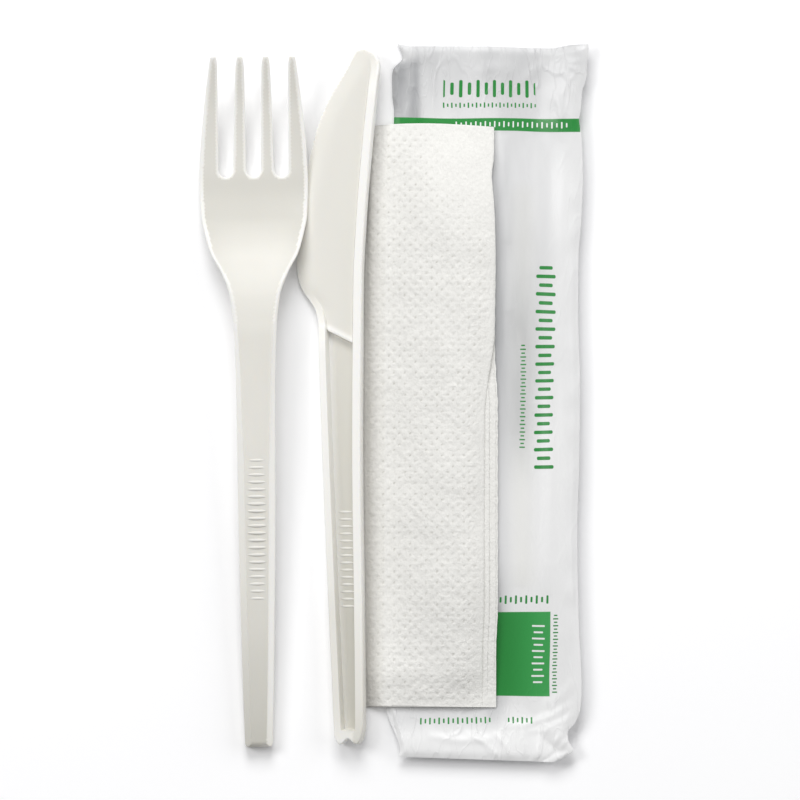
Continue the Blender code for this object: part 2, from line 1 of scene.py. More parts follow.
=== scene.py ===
"""Looks of a bioplastic cutlery set: fork, knife, folded paper napkin and sealed film pack.

Metres, in the part's own frame: +X to the right, +Y towards the tips, +Z up. Each piece is a
class that holds its sizes as fields, builds its mesh, lays it where the frame says and dresses it.
"""

import logging
import math
from collections.abc import Callable
from dataclasses import dataclass
from enum import Enum

import bmesh
import bpy
import numpy as np
from mathutils import Matrix, Vector
from mathutils.geometry import delaunay_2d_cdt


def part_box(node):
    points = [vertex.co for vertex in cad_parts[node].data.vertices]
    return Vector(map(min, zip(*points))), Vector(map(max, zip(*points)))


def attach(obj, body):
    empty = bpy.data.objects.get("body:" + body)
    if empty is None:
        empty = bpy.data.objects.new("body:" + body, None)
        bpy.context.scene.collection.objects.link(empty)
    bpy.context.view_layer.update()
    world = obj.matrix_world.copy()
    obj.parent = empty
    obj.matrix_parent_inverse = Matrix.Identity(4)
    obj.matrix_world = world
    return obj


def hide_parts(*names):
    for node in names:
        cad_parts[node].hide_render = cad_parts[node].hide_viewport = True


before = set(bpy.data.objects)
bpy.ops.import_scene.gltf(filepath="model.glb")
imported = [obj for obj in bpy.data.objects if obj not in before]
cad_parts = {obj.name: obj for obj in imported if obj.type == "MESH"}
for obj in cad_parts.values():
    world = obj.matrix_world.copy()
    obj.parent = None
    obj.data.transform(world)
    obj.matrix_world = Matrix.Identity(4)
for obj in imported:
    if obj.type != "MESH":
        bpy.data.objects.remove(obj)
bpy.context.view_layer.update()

Array = np.ndarray
Knots = tuple[tuple[float, float], ...]
Point = tuple[float, float]
Colour = tuple[float, float, float]
Surface = Callable[[Array, Array], Array]
Socket = bpy.types.NodeSocket
Tree = bpy.types.NodeTree
Material = bpy.types.Material
Piece = bpy.types.Object

LOG = logging.getLogger("cutlery_set")
BODY = "root"
MM = 0.001


def srgb(red: int, green: int, blue: int) -> Colour:
    """Linear colour from the 0 to 255 values that a screen shows."""
    values = []
    for value in (red, green, blue):
        share = value / 255.0
        values.append(share / 12.92 if share <= 0.04045 else ((share + 0.055) / 1.055) ** 2.4)
    return tuple(values)


def lengths(*pairs: Point) -> Knots:
    """Knots whose places and values are both given in millimetres."""
    return tuple((place * MM, value * MM) for place, value in pairs)


def levels(*pairs: Point) -> Knots:
    """Knots whose places are given in millimetres and whose values are plain numbers."""
    return tuple((place * MM, value) for place, value in pairs)


def flowing(knots: Knots, places: Array) -> Array:
    """Values on a smooth curve through knots, which never overshoots them.

    Args:
        knots: pairs of place and value, with rising places.
        places: where to read the curve.

    Returns:
        One value for each place.
    """
    xs, ys = np.array(knots, dtype=float).T
    steps = np.diff(xs)
    rises = np.diff(ys) / steps
    slopes = np.concatenate((rises[:1], np.zeros(len(xs) - 2), rises[-1:]))
    same_way = rises[:-1] * rises[1:] > 0.0
    total = np.where(same_way, rises[:-1] + rises[1:], 1.0)
    slopes[1:-1] = np.where(same_way, 2.0 * rises[:-1] * rises[1:] / total, 0.0)
    spots = np.clip(places, xs[0], xs[-1])
    index = np.clip(np.searchsorted(xs, spots, side="right") - 1, 0, len(xs) - 2)
    t = (spots - xs[index]) / steps[index]
    return (
        ys[index] * (1.0 + 2.0 * t) * (1.0 - t) ** 2
        + ys[index + 1] * t * t * (3.0 - 2.0 * t)
        + steps[index] * slopes[index] * t * (1.0 - t) ** 2
        - steps[index] * slopes[index + 1] * t * t * (1.0 - t)
    )


def at(curve: Callable[[Array], Array], place: float) -> float:
    """Value of a curve at one place."""
    return float(curve(np.array(place)))


def ease(low: float | Array, high: float | Array, values: Array) -> Array:
    """0 below low, 1 above high, and a smooth rise between."""
    t = np.clip((values - low) / (high - low), 0.0, 1.0)
    return t * t * (3.0 - 2.0 * t)


def hump(offsets: Array, width: float | Array) -> Array:
    """Bell-shaped ridge: 1 in its middle, and close to 0 beyond the width."""
    return np.exp(-((offsets / (0.5 * width)) ** 2))


def from_tip(knots: Knots, length: float) -> Knots:
    """Knots given by distance from the tip, turned into distances from the other end."""
    return tuple(sorted((length - place, value) for place, value in knots))


def along(start: float, end: float, step: float) -> Array:
    """Evenly spaced values from start to end, about a step apart."""
    return np.linspace(start, end, max(2, int(round(abs(end - start) / step)) + 1))


def paired(across: Array, lengthways: Array) -> Array:
    """Plan points from their places across and lengthways."""
    return np.column_stack(np.broadcast_arrays(across, lengthways))


def walked_along(line: Array) -> Array:
    """Distance walked along a line of points to each of them."""
    return np.concatenate(([0.0], np.cumsum(np.linalg.norm(np.diff(line, axis=0), axis=1))))


def distance_to_line(points: Array, line: Array) -> Array:
    """Shortest distance from each plan point to a line of points.

    Args:
        points: plan points, one row each.
        line: the line's points, one row each.

    Returns:
        One distance for each point.
    """
    best = np.empty(len(points))
    block = 1500
    starts, spans = line[:-1], np.diff(line, axis=0)
    sizes = np.maximum((spans**2).sum(1), 1e-18)
    for first in range(0, len(points), block):
        off = points[first:first + block, None, :] - starts[None, :, :]
        share = np.clip((off * spans).sum(2) / sizes, 0.0, 1.0)
        best[first:first + block] = np.linalg.norm(off - share[:, :, None] * spans, axis=2).min(1)
    return best


def inside(points: Array, outline: Array) -> Array:
    """True for each plan point that lies inside a closed outline."""
    result = np.zeros(len(points), dtype=bool)
    ends = np.roll(outline, -1, axis=0)
    for (ax, ay), (bx, by) in zip(outline, ends):
        if ay == by:
            continue
        crosses = (ay > points[:, 1]) != (by > points[:, 1])
        result ^= crosses & (points[:, 0] < (bx - ax) * (points[:, 1] - ay) / (by - ay) + ax)
    return result


def mesh_object(name: str, points: Array, faces: list, sharp: float = 50.0) -> Piece:
    """New smooth-shaded object at the origin.

    Args:
        name: the piece's name.
        points: its corners, one row each.
        faces: its faces, as lists of corner numbers.
        sharp: angle in degrees above which an edge stays sharp.

    Returns:
        The object, linked to the scene, with its faces pointing out.
    """
    data = bpy.data.meshes.new(name)
    data.from_pydata(points.tolist(), [], faces)
    shell = bmesh.new()
    shell.from_mesh(data)
    bmesh.ops.recalc_face_normals(shell, faces=shell.faces)
    shell.to_mesh(data)
    shell.free()
    data.shade_smooth()
    data.set_sharp_from_angle(angle=math.radians(sharp))
    piece = bpy.data.objects.new(name, data)
    bpy.context.scene.collection.objects.link(piece)
    return piece


def used_corners(corners: Array, faces: list) -> tuple[Array, list, Array]:
    """Corners that faces use, the faces with their new numbers, and the old numbers kept."""
    used = np.unique(np.concatenate([np.array(face) for face in faces]))
    number = np.full(len(corners), -1)
    number[used] = np.arange(len(used))
    return corners[used], [[int(number[i]) for i in face] for face in faces], used


def seat_in_box(piece: Piece, node: str) -> None:
    """Shift a piece's mesh so that it stands in the middle of its node's box, on its floor."""
    low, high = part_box(node)
    points = np.array([vertex.co for vertex in piece.data.vertices])
    own_low, own_high = points.min(0), points.max(0)
    shift = 0.5 * (np.array(low) + np.array(high)) - 0.5 * (own_low + own_high)
    shift[2] = low[2] - own_low[2]
    piece.data.transform(Matrix.Translation(Vector(shift)))


@dataclass
class PlanSolid:
    """Closed solid on a plan outline, between a top and a bottom surface, with rounded rims.

    Fields:
        outline: plan points, counter-clockwise.
        top, bottom: heights over the plan.
        rim: radius of the upper rim over the plan.
        under_rim: radius of the lower rim.
        pitch: spacing of the inner points.
        tone: painted shade and painted highlight on the plastic, from -1, deepest painted shade, to 1,
        palest painted highlight, over the plan and by the gap to the outline.
        lines: extra lines of plan points that the mesh follows.
    """

    outline: Array
    top: Surface
    bottom: Surface
    rim: Surface
    under_rim: float
    pitch: float
    tone: Callable[[Array, Array, Array], Array]
    lines: list[Array]
    RIM_STEPS = (0.04, 0.14, 0.30, 0.55, 1.0)
    LOOP_SHARE = 0.8
    ROW_SHARE = 0.87
    RIM_SHARE = 0.4
    CLEAR_SHARE = 0.45
    THINNEST = 0.05 * MM
    CLOSEST = 0.02 * MM

    def inset_points(self, closed: Array) -> Array:
        """Points on loops inside the outline, close together where the rim turns."""
        after = np.roll(self.outline, -1, axis=0) - self.outline
        before = self.outline - np.roll(self.outline, 1, axis=0)
        way = sum(span / np.linalg.norm(span, axis=1)[:, None] for span in (after, before))
        inward = np.column_stack((-way[:, 1], way[:, 0])) / np.linalg.norm(way, axis=1)[:, None]
        radius = self.rim(self.outline[:, 0], self.outline[:, 1])
        kept = []
        for step in self.RIM_STEPS:
            points = self.outline + inward * (radius * step)[:, None]
            points = points[inside(points, self.outline)]
            reach = self.rim(points[:, 0], points[:, 1]) * step
            kept.append(points[distance_to_line(points, closed) > self.LOOP_SHARE * reach])
        return np.concatenate(kept)

    def inner_points(self, closed: Array, taken: Array) -> Array:
        """Staggered points that keep clear of the rim and of the extra lines."""
        low, high = self.outline.min(0), self.outline.max(0)
        rows = along(low[1], high[1], self.ROW_SHARE * self.pitch)
        columns = along(low[0], high[0], self.pitch)
        grid = [paired(columns + 0.5 * self.pitch * (i % 2), y) for i, y in enumerate(rows)]
        points = np.concatenate(grid)
        points = points[inside(points, self.outline)]
        radius = self.rim(points[:, 0], points[:, 1])
        points = points[distance_to_line(points, closed) > radius + self.RIM_SHARE * self.pitch]
        for line in self.lines:
            points = points[distance_to_line(points, line) > self.CLEAR_SHARE * self.pitch]
        return np.concatenate((taken, points))

    def build(self, name: str) -> Piece:
        """Cut the plan into triangles, lift them to both surfaces and close the side."""
        closed = np.concatenate((self.outline, self.outline[:1]))
        inset = self.inset_points(closed)
        for line in self.lines:
            inset = inset[distance_to_line(inset, line) > self.CLOSEST]
        points = [Vector(point) for point in self.outline]
        count = len(points)
        edges = [(i, (i + 1) % count) for i in range(count)]
        for line in self.lines:
            edges += [(len(points) + i, len(points) + i + 1) for i in range(len(line) - 1)]
            points += [Vector(point) for point in line]
        points += [Vector(point) for point in self.inner_points(closed, inset)]
        plan = delaunay_2d_cdt(points, edges, [], 1, 1e-7)
        spots = np.array([tuple(spot) for spot in plan[0]])
        gaps = distance_to_line(spots, closed)
        x, y = spots.T
        radius = np.maximum(self.rim(x, y), 1e-6)
        drop = radius - np.sqrt(radius**2 - np.clip(radius - gaps, 0.0, None) ** 2)
        under = np.full(len(x), self.under_rim)
        lift = under - np.sqrt(under**2 - np.clip(under - gaps, 0.0, None) ** 2)
        bottom = self.bottom(x, y) + lift
        top = np.maximum(self.top(x, y) - drop, bottom + self.THINNEST)
        corners, faces, used = self.shell(spots, top, bottom, plan[2])
        piece = mesh_object(name, corners, faces)
        # The tone value carries painted shade and painted highlight to the material.
        keep_values(piece, "tone", np.tile(self.tone(x, y, gaps), 2)[used])
        return piece

    def shell(self, spots: Array, top: Array, bottom: Array, triangles: list) -> tuple[Array, list, Array]:
        """Corners and faces of the closed shell over the cut plan, and which corners it keeps."""
        count = len(spots)
        corners = np.concatenate((np.column_stack((spots, top)), np.column_stack((spots, bottom))))
        faces = []
        sides = {}
        for a, b, c in triangles:
            faces += [(a, b, c), (c + count, b + count, a + count)]
            for pair in ((a, b), (b, c), (c, a)):
                if pair[::-1] in sides:
                    del sides[pair[::-1]]
                else:
                    sides[pair] = True
        faces += [(b, a, a + count, b + count) for a, b in sides]
        return used_corners(corners, faces)


class Graph:
    """Short way to add nodes to a tree and to link them."""

    def __init__(self, tree: Tree) -> None:
        """Keep the tree."""
        self.tree = tree

    def put(self, socket: Socket, value: object) -> None:
        """Link a socket, or set its plain value."""
        if isinstance(value, Socket):
            self.tree.links.new(value, socket)
        elif socket.type == "RGBA" and len(value) == 3:
            socket.default_value = (*value, 1.0)
        else:
            socket.default_value = value

    def add(self, kind: str, sockets: dict | None = None, **settings: object) -> bpy.types.Node:
        """Add a node.

        Args:
            kind: the node's type name.
            sockets: inputs by name or number, each a link or a plain value.
            settings: the node's own properties.

        Returns:
            The new node.
        """
        node = self.tree.nodes.new(kind)
        for name, value in settings.items():
            setattr(node, name, value)
        for key, value in (sockets or {}).items():
            self.put(node.inputs[key], value)
        return node

    def math(self, operation: str, *values: object, clamp: bool = False) -> Socket:
        """Result of one sum on numbers or links."""
        node = self.add("ShaderNodeMath", dict(enumerate(values)), operation=operation)
        node.use_clamp = clamp
        return node.outputs[0]

    def plus(self, first: object, second: object) -> Socket:
        """Sum of two numbers."""
        return self.math("ADD", first, second)

    def minus(self, first: object, second: object) -> Socket:
        """First number less the second."""
        return self.math("SUBTRACT", first, second)

    def times(self, first: object, second: object, clamp: bool = False) -> Socket:
        """Product of two numbers, kept between 0 and 1 where clamp is True."""
        return self.math("MULTIPLY", first, second, clamp=clamp)

    def vector_math(self, operation: str, *values: object, **named: object) -> Socket:
        """Result of one sum on vectors."""
        sockets = dict(enumerate(values)) | named
        node = self.add("ShaderNodeVectorMath", sockets, operation=operation)
        return node.outputs["Value" if operation in ("LENGTH", "DISTANCE") else "Vector"]

    def step(self, value: object, low: object, high: object) -> Socket:
        """Smooth rise from 0 at low to 1 at high."""
        sockets = {"Value": value, "From Min": low, "From Max": high}
        return self.add("ShaderNodeMapRange", sockets, interpolation_type="SMOOTHSTEP").outputs[0]

    def mix(self, share: object, first: object, second: object) -> Socket:
        """Colour between two colours."""
        node = self.add("ShaderNodeMix", data_type="RGBA")
        for place, value in ((0, share), (6, first), (7, second)):
            self.put(node.inputs[place], value)
        return node.outputs[2]

    def between(self, share: object, first: object, second: object) -> Socket:
        """Number between two numbers."""
        return self.plus(first, self.times(share, self.minus(second, first)))

    def noise(self, place: object, scale: float, detail: float = 3.0) -> Socket:
        """Soft noise value."""
        sockets = {"Vector": place, "Scale": scale, "Detail": detail}
        return self.add("ShaderNodeTexNoise", sockets).outputs["Fac"]


def shader_group(name: str, inputs: dict[str, object], outputs: dict[str, str]) -> tuple[Graph, dict, dict]:
    """New shader node group with named sockets.

    Args:
        name: the group's name.
        inputs: plain value of each input by its name, a float or a vector.
        outputs: socket type of each output by its name.

    Returns:
        The group's graph, its input links by name and its output sockets by name.
    """
    tree = bpy.data.node_groups.new(name, "ShaderNodeTree")
    for label, value in inputs.items():
        kind = "NodeSocketFloat" if isinstance(value, float) else "NodeSocketVector"
        tree.interface.new_socket(label, in_out="INPUT", socket_type=kind).default_value = value
    for label, kind in outputs.items():
        tree.interface.new_socket(label, in_out="OUTPUT", socket_type=kind)
    start, end = tree.nodes.new("NodeGroupInput"), tree.nodes.new("NodeGroupOutput")
    return (
        Graph(tree),
        {label: start.outputs[label] for label in inputs},
        {label: end.inputs[label] for label in outputs},
    )


class Effects:
    """Shader node groups that more than one finish uses."""

    def __init__(self) -> None:
        """Build each group once."""
        self.mottle = self.make_mottle()
        self.grain = self.make_grain()
        self.marks = self.make_marks()
        self.crinkles = self.make_crinkles()

    def place(self, graph: Graph, given: dict) -> Socket:
        """Place on the piece, stretched as the effect's input says."""
        place = graph.add("ShaderNodeTexCoord").outputs["Object"]
        return graph.vector_math("MULTIPLY", place, given["Stretch"])

    def make_mottle(self) -> Tree:
        """Slow drift of tone over a surface, from -1 to 1 times its amount."""
        graph, given, result = shader_group(
            "tone_drift", {"Scale": 60.0, "Amount": 0.02, "Stretch": (1.0, 1.0, 1.0)},
            {"Tone": "NodeSocketFloat"},
        )
        place = self.place(graph, given)
        soft = graph.noise(place, given["Scale"], 2.0)
        drift = graph.times(graph.minus(soft, 0.5), 2.0)
        graph.put(result["Tone"], graph.plus(graph.times(drift, given["Amount"]), 1.0))
        return graph.tree

    def make_grain(self) -> Tree:
        """Height of a fine grain, coarse and fine layers added, for a Bump node."""
        graph, given, result = shader_group(
            "fine_grain", {"Scale": 900.0, "Fineness": 3.0, "Stretch": (1.0, 1.0, 1.0)},
            {"Height": "NodeSocketFloat"},
        )
        place = self.place(graph, given)
        coarse = graph.noise(place, given["Scale"], 2.0)
        fine = graph.noise(place, graph.times(given["Scale"], given["Fineness"]), 2.0)
        graph.put(result["Height"], graph.plus(coarse, graph.times(fine, 0.5)))
        return graph.tree

    def make_crinkles(self) -> Tree:
        """Height of the sharp crinkles in thin film: narrow ridges that wander and cross."""
        graph, given, result = shader_group(
            "film_crinkles", {"Scale": 90.0, "Stretch": (1.0, 1.0, 1.0)}, {"Height": "NodeSocketFloat"},
        )
        place = self.place(graph, given)
        total = None
        for turn, share in ((1.0, 1.0), (2.3, 0.45)):
            scale = graph.times(given["Scale"], turn)
            soft = graph.add("ShaderNodeTexNoise", {"Vector": place, "Scale": scale, "Detail": 1.0,
                                                    "Distortion": 0.4}).outputs["Fac"]
            off = graph.math("ABSOLUTE", graph.minus(soft, 0.5))
            ridge = graph.times(graph.step(off, 0.045, 0.0), share)
            total = ridge if total is None else graph.plus(total, ridge)
        graph.put(result["Height"], total)
        return graph.tree

    def make_marks(self) -> Tree:
        """Row of plain rounded ticks: its mask is 1 on a tick and 0 elsewhere.

        The row runs along +Y from its centre, or along +X where Sideways is 1. Every second
        tick is less tall by Change at each end.
        """
        graph, given, result = shader_group(
            "printed_marks",
            {
                "Place": (0.0, 0.0, 0.0), "Centre": (0.0, 0.0, 0.0), "Sideways": 0.0, "Half Length": 0.01,
                "Pitch": 0.004, "Half Mark": 0.0012, "Half Height": 0.0012, "Round": 0.0004, "Change": 0.0,
            },
            {"Mask": "NodeSocketFloat"},
        )
        off = graph.vector_math("SUBTRACT", given["Place"], given["Centre"])
        x, y, _ = graph.add("ShaderNodeSeparateXYZ", {0: off}).outputs
        lengthways = graph.between(given["Sideways"], y, x)
        across = graph.between(given["Sideways"], x, y)
        turns = graph.math("DIVIDE", lengthways, given["Pitch"])
        cell = graph.minus(graph.math("FRACT", turns), 0.5)
        odd = graph.math("MODULO", graph.math("ABSOLUTE", graph.math("FLOOR", turns)), 2.0)
        reach = graph.minus(given["Half Height"], graph.times(odd, given["Change"]))
        places = (graph.times(cell, given["Pitch"]), given["Half Mark"]), (across, reach)
        gaps = []
        for place, half in places:
            gap = graph.minus(graph.math("ABSOLUTE", place), half)
            gap = graph.math("MAXIMUM", graph.plus(gap, given["Round"]), 0.0)
            gaps.append(graph.math("POWER", gap, 2.0))
        edge = graph.minus(graph.math("SQRT", graph.plus(*gaps)), given["Round"])
        inner = graph.step(edge, 0.06 * MM, -0.06 * MM)
        row = graph.math("LESS_THAN", graph.math("ABSOLUTE", lengthways), given["Half Length"])
        graph.put(result["Mask"], graph.times(inner, row))
        return graph.tree


@dataclass(frozen=True)
class Finish:
    """What every finish has: a name, a colour, how rough it is and how strongly it reflects."""

    name: str
    colour: Colour
    roughness: float
    specular: float

    def start(self) -> tuple[Material, Graph, bpy.types.Node]:
        """New material with its graph and its Principled shader."""
        material = bpy.data.materials.new(self.name)
        material.use_nodes = True
        shader = material.node_tree.nodes["Principled BSDF"]
        self.give(shader, {"Roughness": self.roughness, "Specular IOR Level": self.specular})
        return material, Graph(material.node_tree), shader

    def give(self, node: bpy.types.Node, values: dict) -> None:
        """Give a node's inputs their plain values by name."""
        for label, value in values.items():
            node.inputs[label].default_value = value

    def placed(self, graph: Graph, tree: Tree, values: dict) -> Socket:
        """First output of an effect with its own values."""
        effect = graph.add("ShaderNodeGroup", node_tree=tree)
        self.give(effect, values)
        return effect.outputs[0]

    def toned(self, graph: Graph, mottle: Tree, colour: object, values: dict) -> Socket:
        """Colour times a slow drift of tone."""
        return graph.vector_math("SCALE", colour, Scale=self.placed(graph, mottle, values))

    def bumped(self, graph: Graph, shader: bpy.types.Node, height: object, distance: float) -> None:
        """Give the shader a relief of a height between 0 and about 1, times a distance."""
        sockets = {"Strength": 1.0, "Distance": distance, "Height": height}
        graph.put(shader.inputs["Normal"], graph.add("ShaderNodeBump", sockets).outputs["Normal"])


@dataclass(frozen=True)
class Bioplastic(Finish):
    """Ivory moulded plastic with a soft sheen and a faint orange-peel.

    Painted highlights make its rims, bevels, wall tops and rib paler, and painted shade makes its handles
    deeper towards their ends and the knife's channel deeper.
    """

    # Colours of the painted highlight and of the painted shade.
    highlight_colour: Colour = srgb(254, 253, 249)
    shade_colour: Colour = srgb(205, 203, 194)
    subsurface: float = 0.12
    subsurface_reach: tuple[float, float, float] = (1.0, 0.85, 0.6)
    subsurface_scale: float = 0.8 * MM
    peel_height: float = 0.012 * MM

    def build(self, effects: Effects) -> Material:
        """Make the material."""
        material, graph, shader = self.start()
        drift = {"Scale": 70.0, "Amount": 0.035, "Stretch": (1.0, 0.35, 1.0)}
        body = self.toned(graph, effects.mottle, self.colour, drift)
        tone = graph.add("ShaderNodeAttribute", attribute_name="tone").outputs["Fac"]
        # Painted shade towards the deep colour where tone is below 0, and painted highlight towards the
        # pale colour where it is above 0.
        for way, colour in ((-1.0, self.shade_colour), (1.0, self.highlight_colour)):
            body = graph.mix(graph.times(tone, way, clamp=True), body, colour)
        graph.put(shader.inputs["Base Color"], body)
        self.give(shader, {
            "Subsurface Weight": self.subsurface, "Subsurface Radius": self.subsurface_reach,
            "Subsurface Scale": self.subsurface_scale,
        })
        peel = self.placed(graph, effects.grain, {"Scale": 700.0, "Fineness": 4.0})
        self.bumped(graph, shader, peel, self.peel_height)
        spread = graph.add("ShaderNodeMapRange", {
            "Value": self.placed(graph, effects.grain, {"Scale": 260.0}), "From Min": 0.4, "From Max": 1.1,
            "To Min": self.roughness - 0.05, "To Max": self.roughness + 0.07,
        })
        graph.put(shader.inputs["Roughness"], spread.outputs[0])
        return material


@dataclass(frozen=True)
class TissuePaper(Finish):
    """Soft uncoated paper with short fibres and small pressed pins.

    Its thin lower end is lightened with painted light; its pins carry painted shade in their dents;
    and the strip beside the knife, where the knife presses it flat, carries the knife's painted shadow.
    """

    # Painted shade in the dents of the pressed pins.
    pin_shade_colour: Colour = srgb(200, 198, 190)
    # Painted shadow of the knife on the strip of sheet beside it, between the two places across below.
    knife_shadow_colour: Colour = srgb(214, 212, 207)
    knife_shadow_strip: Point = (-1.2 * MM, -6.0 * MM)
    # Painted light on the lower end, where the sheet slopes away from the light, between the two places
    # along below.
    low_end_light_colour: Colour = srgb(250, 249, 245)
    low_end_light: Point = (-44.0 * MM, -60.0 * MM)
    sheen: float = 0.15
    sheen_roughness: float = 0.6
    fibre_height: float = 0.18 * MM

    def build(self, effects: Effects) -> Material:
        """Make the material."""
        material, graph, shader = self.start()
        flat = graph.add("ShaderNodeTexCoord").outputs["Object"]
        across, lengthways, _ = graph.add("ShaderNodeSeparateXYZ", {0: flat}).outputs
        # Painted light on the lower end of the sheet.
        base = graph.mix(graph.step(lengthways, *self.low_end_light), self.colour, self.low_end_light_colour)
        for drift in ({"Scale": 150.0, "Amount": 0.035},
                      {"Scale": 1700.0, "Amount": 0.07, "Stretch": (1.0, 0.7, 1.0)}):
            base = self.toned(graph, effects.mottle, base, drift)
        # Painted shadow of the knife on the strip of sheet beside it.
        base = graph.mix(graph.step(across, *self.knife_shadow_strip), base, self.knife_shadow_colour)
        pressed = graph.add("ShaderNodeAttribute", attribute_name="pressed").outputs["Fac"]
        # Painted shade in the pin dents, by the pressed value.
        graph.put(shader.inputs["Base Color"], graph.mix(pressed, base, self.pin_shade_colour))
        self.give(shader, {"Sheen Weight": self.sheen, "Sheen Roughness": self.sheen_roughness})
        stretch = (1.0, 0.45, 1.0)
        fibres = self.placed(graph, effects.grain, {"Scale": 2200.0, "Fineness": 2.6, "Stretch": stretch})
        lumps = self.placed(graph, effects.grain, {"Scale": 900.0, "Fineness": 1.7})
        height = graph.plus(graph.times(fibres, 0.55), lumps)
        self.bumped(graph, shader, height, self.fibre_height)
        return material


class Run(Enum):
    """Which way a printed row runs."""

    ALONG = 0.0
    SIDEWAYS = 1.0


@dataclass(frozen=True)
class PrintRow:
    """Row of plain printed marks on the film, in millimetres.

    Fields:
        centre: its middle on the table plan.
        length: its whole length.
        pitch: spacing of its marks.
        mark: length and height of one mark.
        round: corner radius of a mark.
        change: how much less tall every second mark is at each end.
        run: which way it runs.
        white: True where it is left white in a green field.
    """

    centre: Point
    length: float
    pitch: float
    mark: Point
    round: float
    change: float
    run: Run = Run.ALONG
    white: bool = False

    def sockets(self) -> dict[str, object]:
        """Values for the effect that prints the row, in metres."""
        sizes = {
            "Half Length": 0.5 * self.length, "Pitch": self.pitch, "Half Mark": 0.5 * self.mark[0],
            "Half Height": 0.5 * self.mark[1], "Round": self.round, "Change": self.change,
        }
        centre = (self.centre[0] * MM, self.centre[1] * MM, 0.0)
        return {label: size * MM for label, size in sizes.items()} | {
            "Centre": centre, "Sideways": self.run.value,
        }


@dataclass(frozen=True)
class Patch:
    """Upright rectangle on the table plan, in millimetres, with soft edges.

    Fields:
        low, high: its lower left and upper right corners.
        soft: how far its edges fade, across and along.
        share: how strongly it shows.
    """

    low: Point
    high: Point
    soft: Point
    share: float = 1.0

    def mask(self, graph: Graph, place: object) -> Socket:
        """1 inside the rectangle and 0 outside it."""
        split = graph.add("ShaderNodeSeparateXYZ", {0: place})
        mask = None
        for axis in (0, 1):
            low, high, soft = (value[axis] * MM for value in (self.low, self.high, self.soft))
            off = graph.math("ABSOLUTE", graph.minus(split.outputs[axis], 0.5 * (low + high)))
            part = graph.step(off, 0.5 * (high - low) + soft, 0.5 * (high - low) - soft)
            mask = part if mask is None else graph.times(mask, part)
        return mask


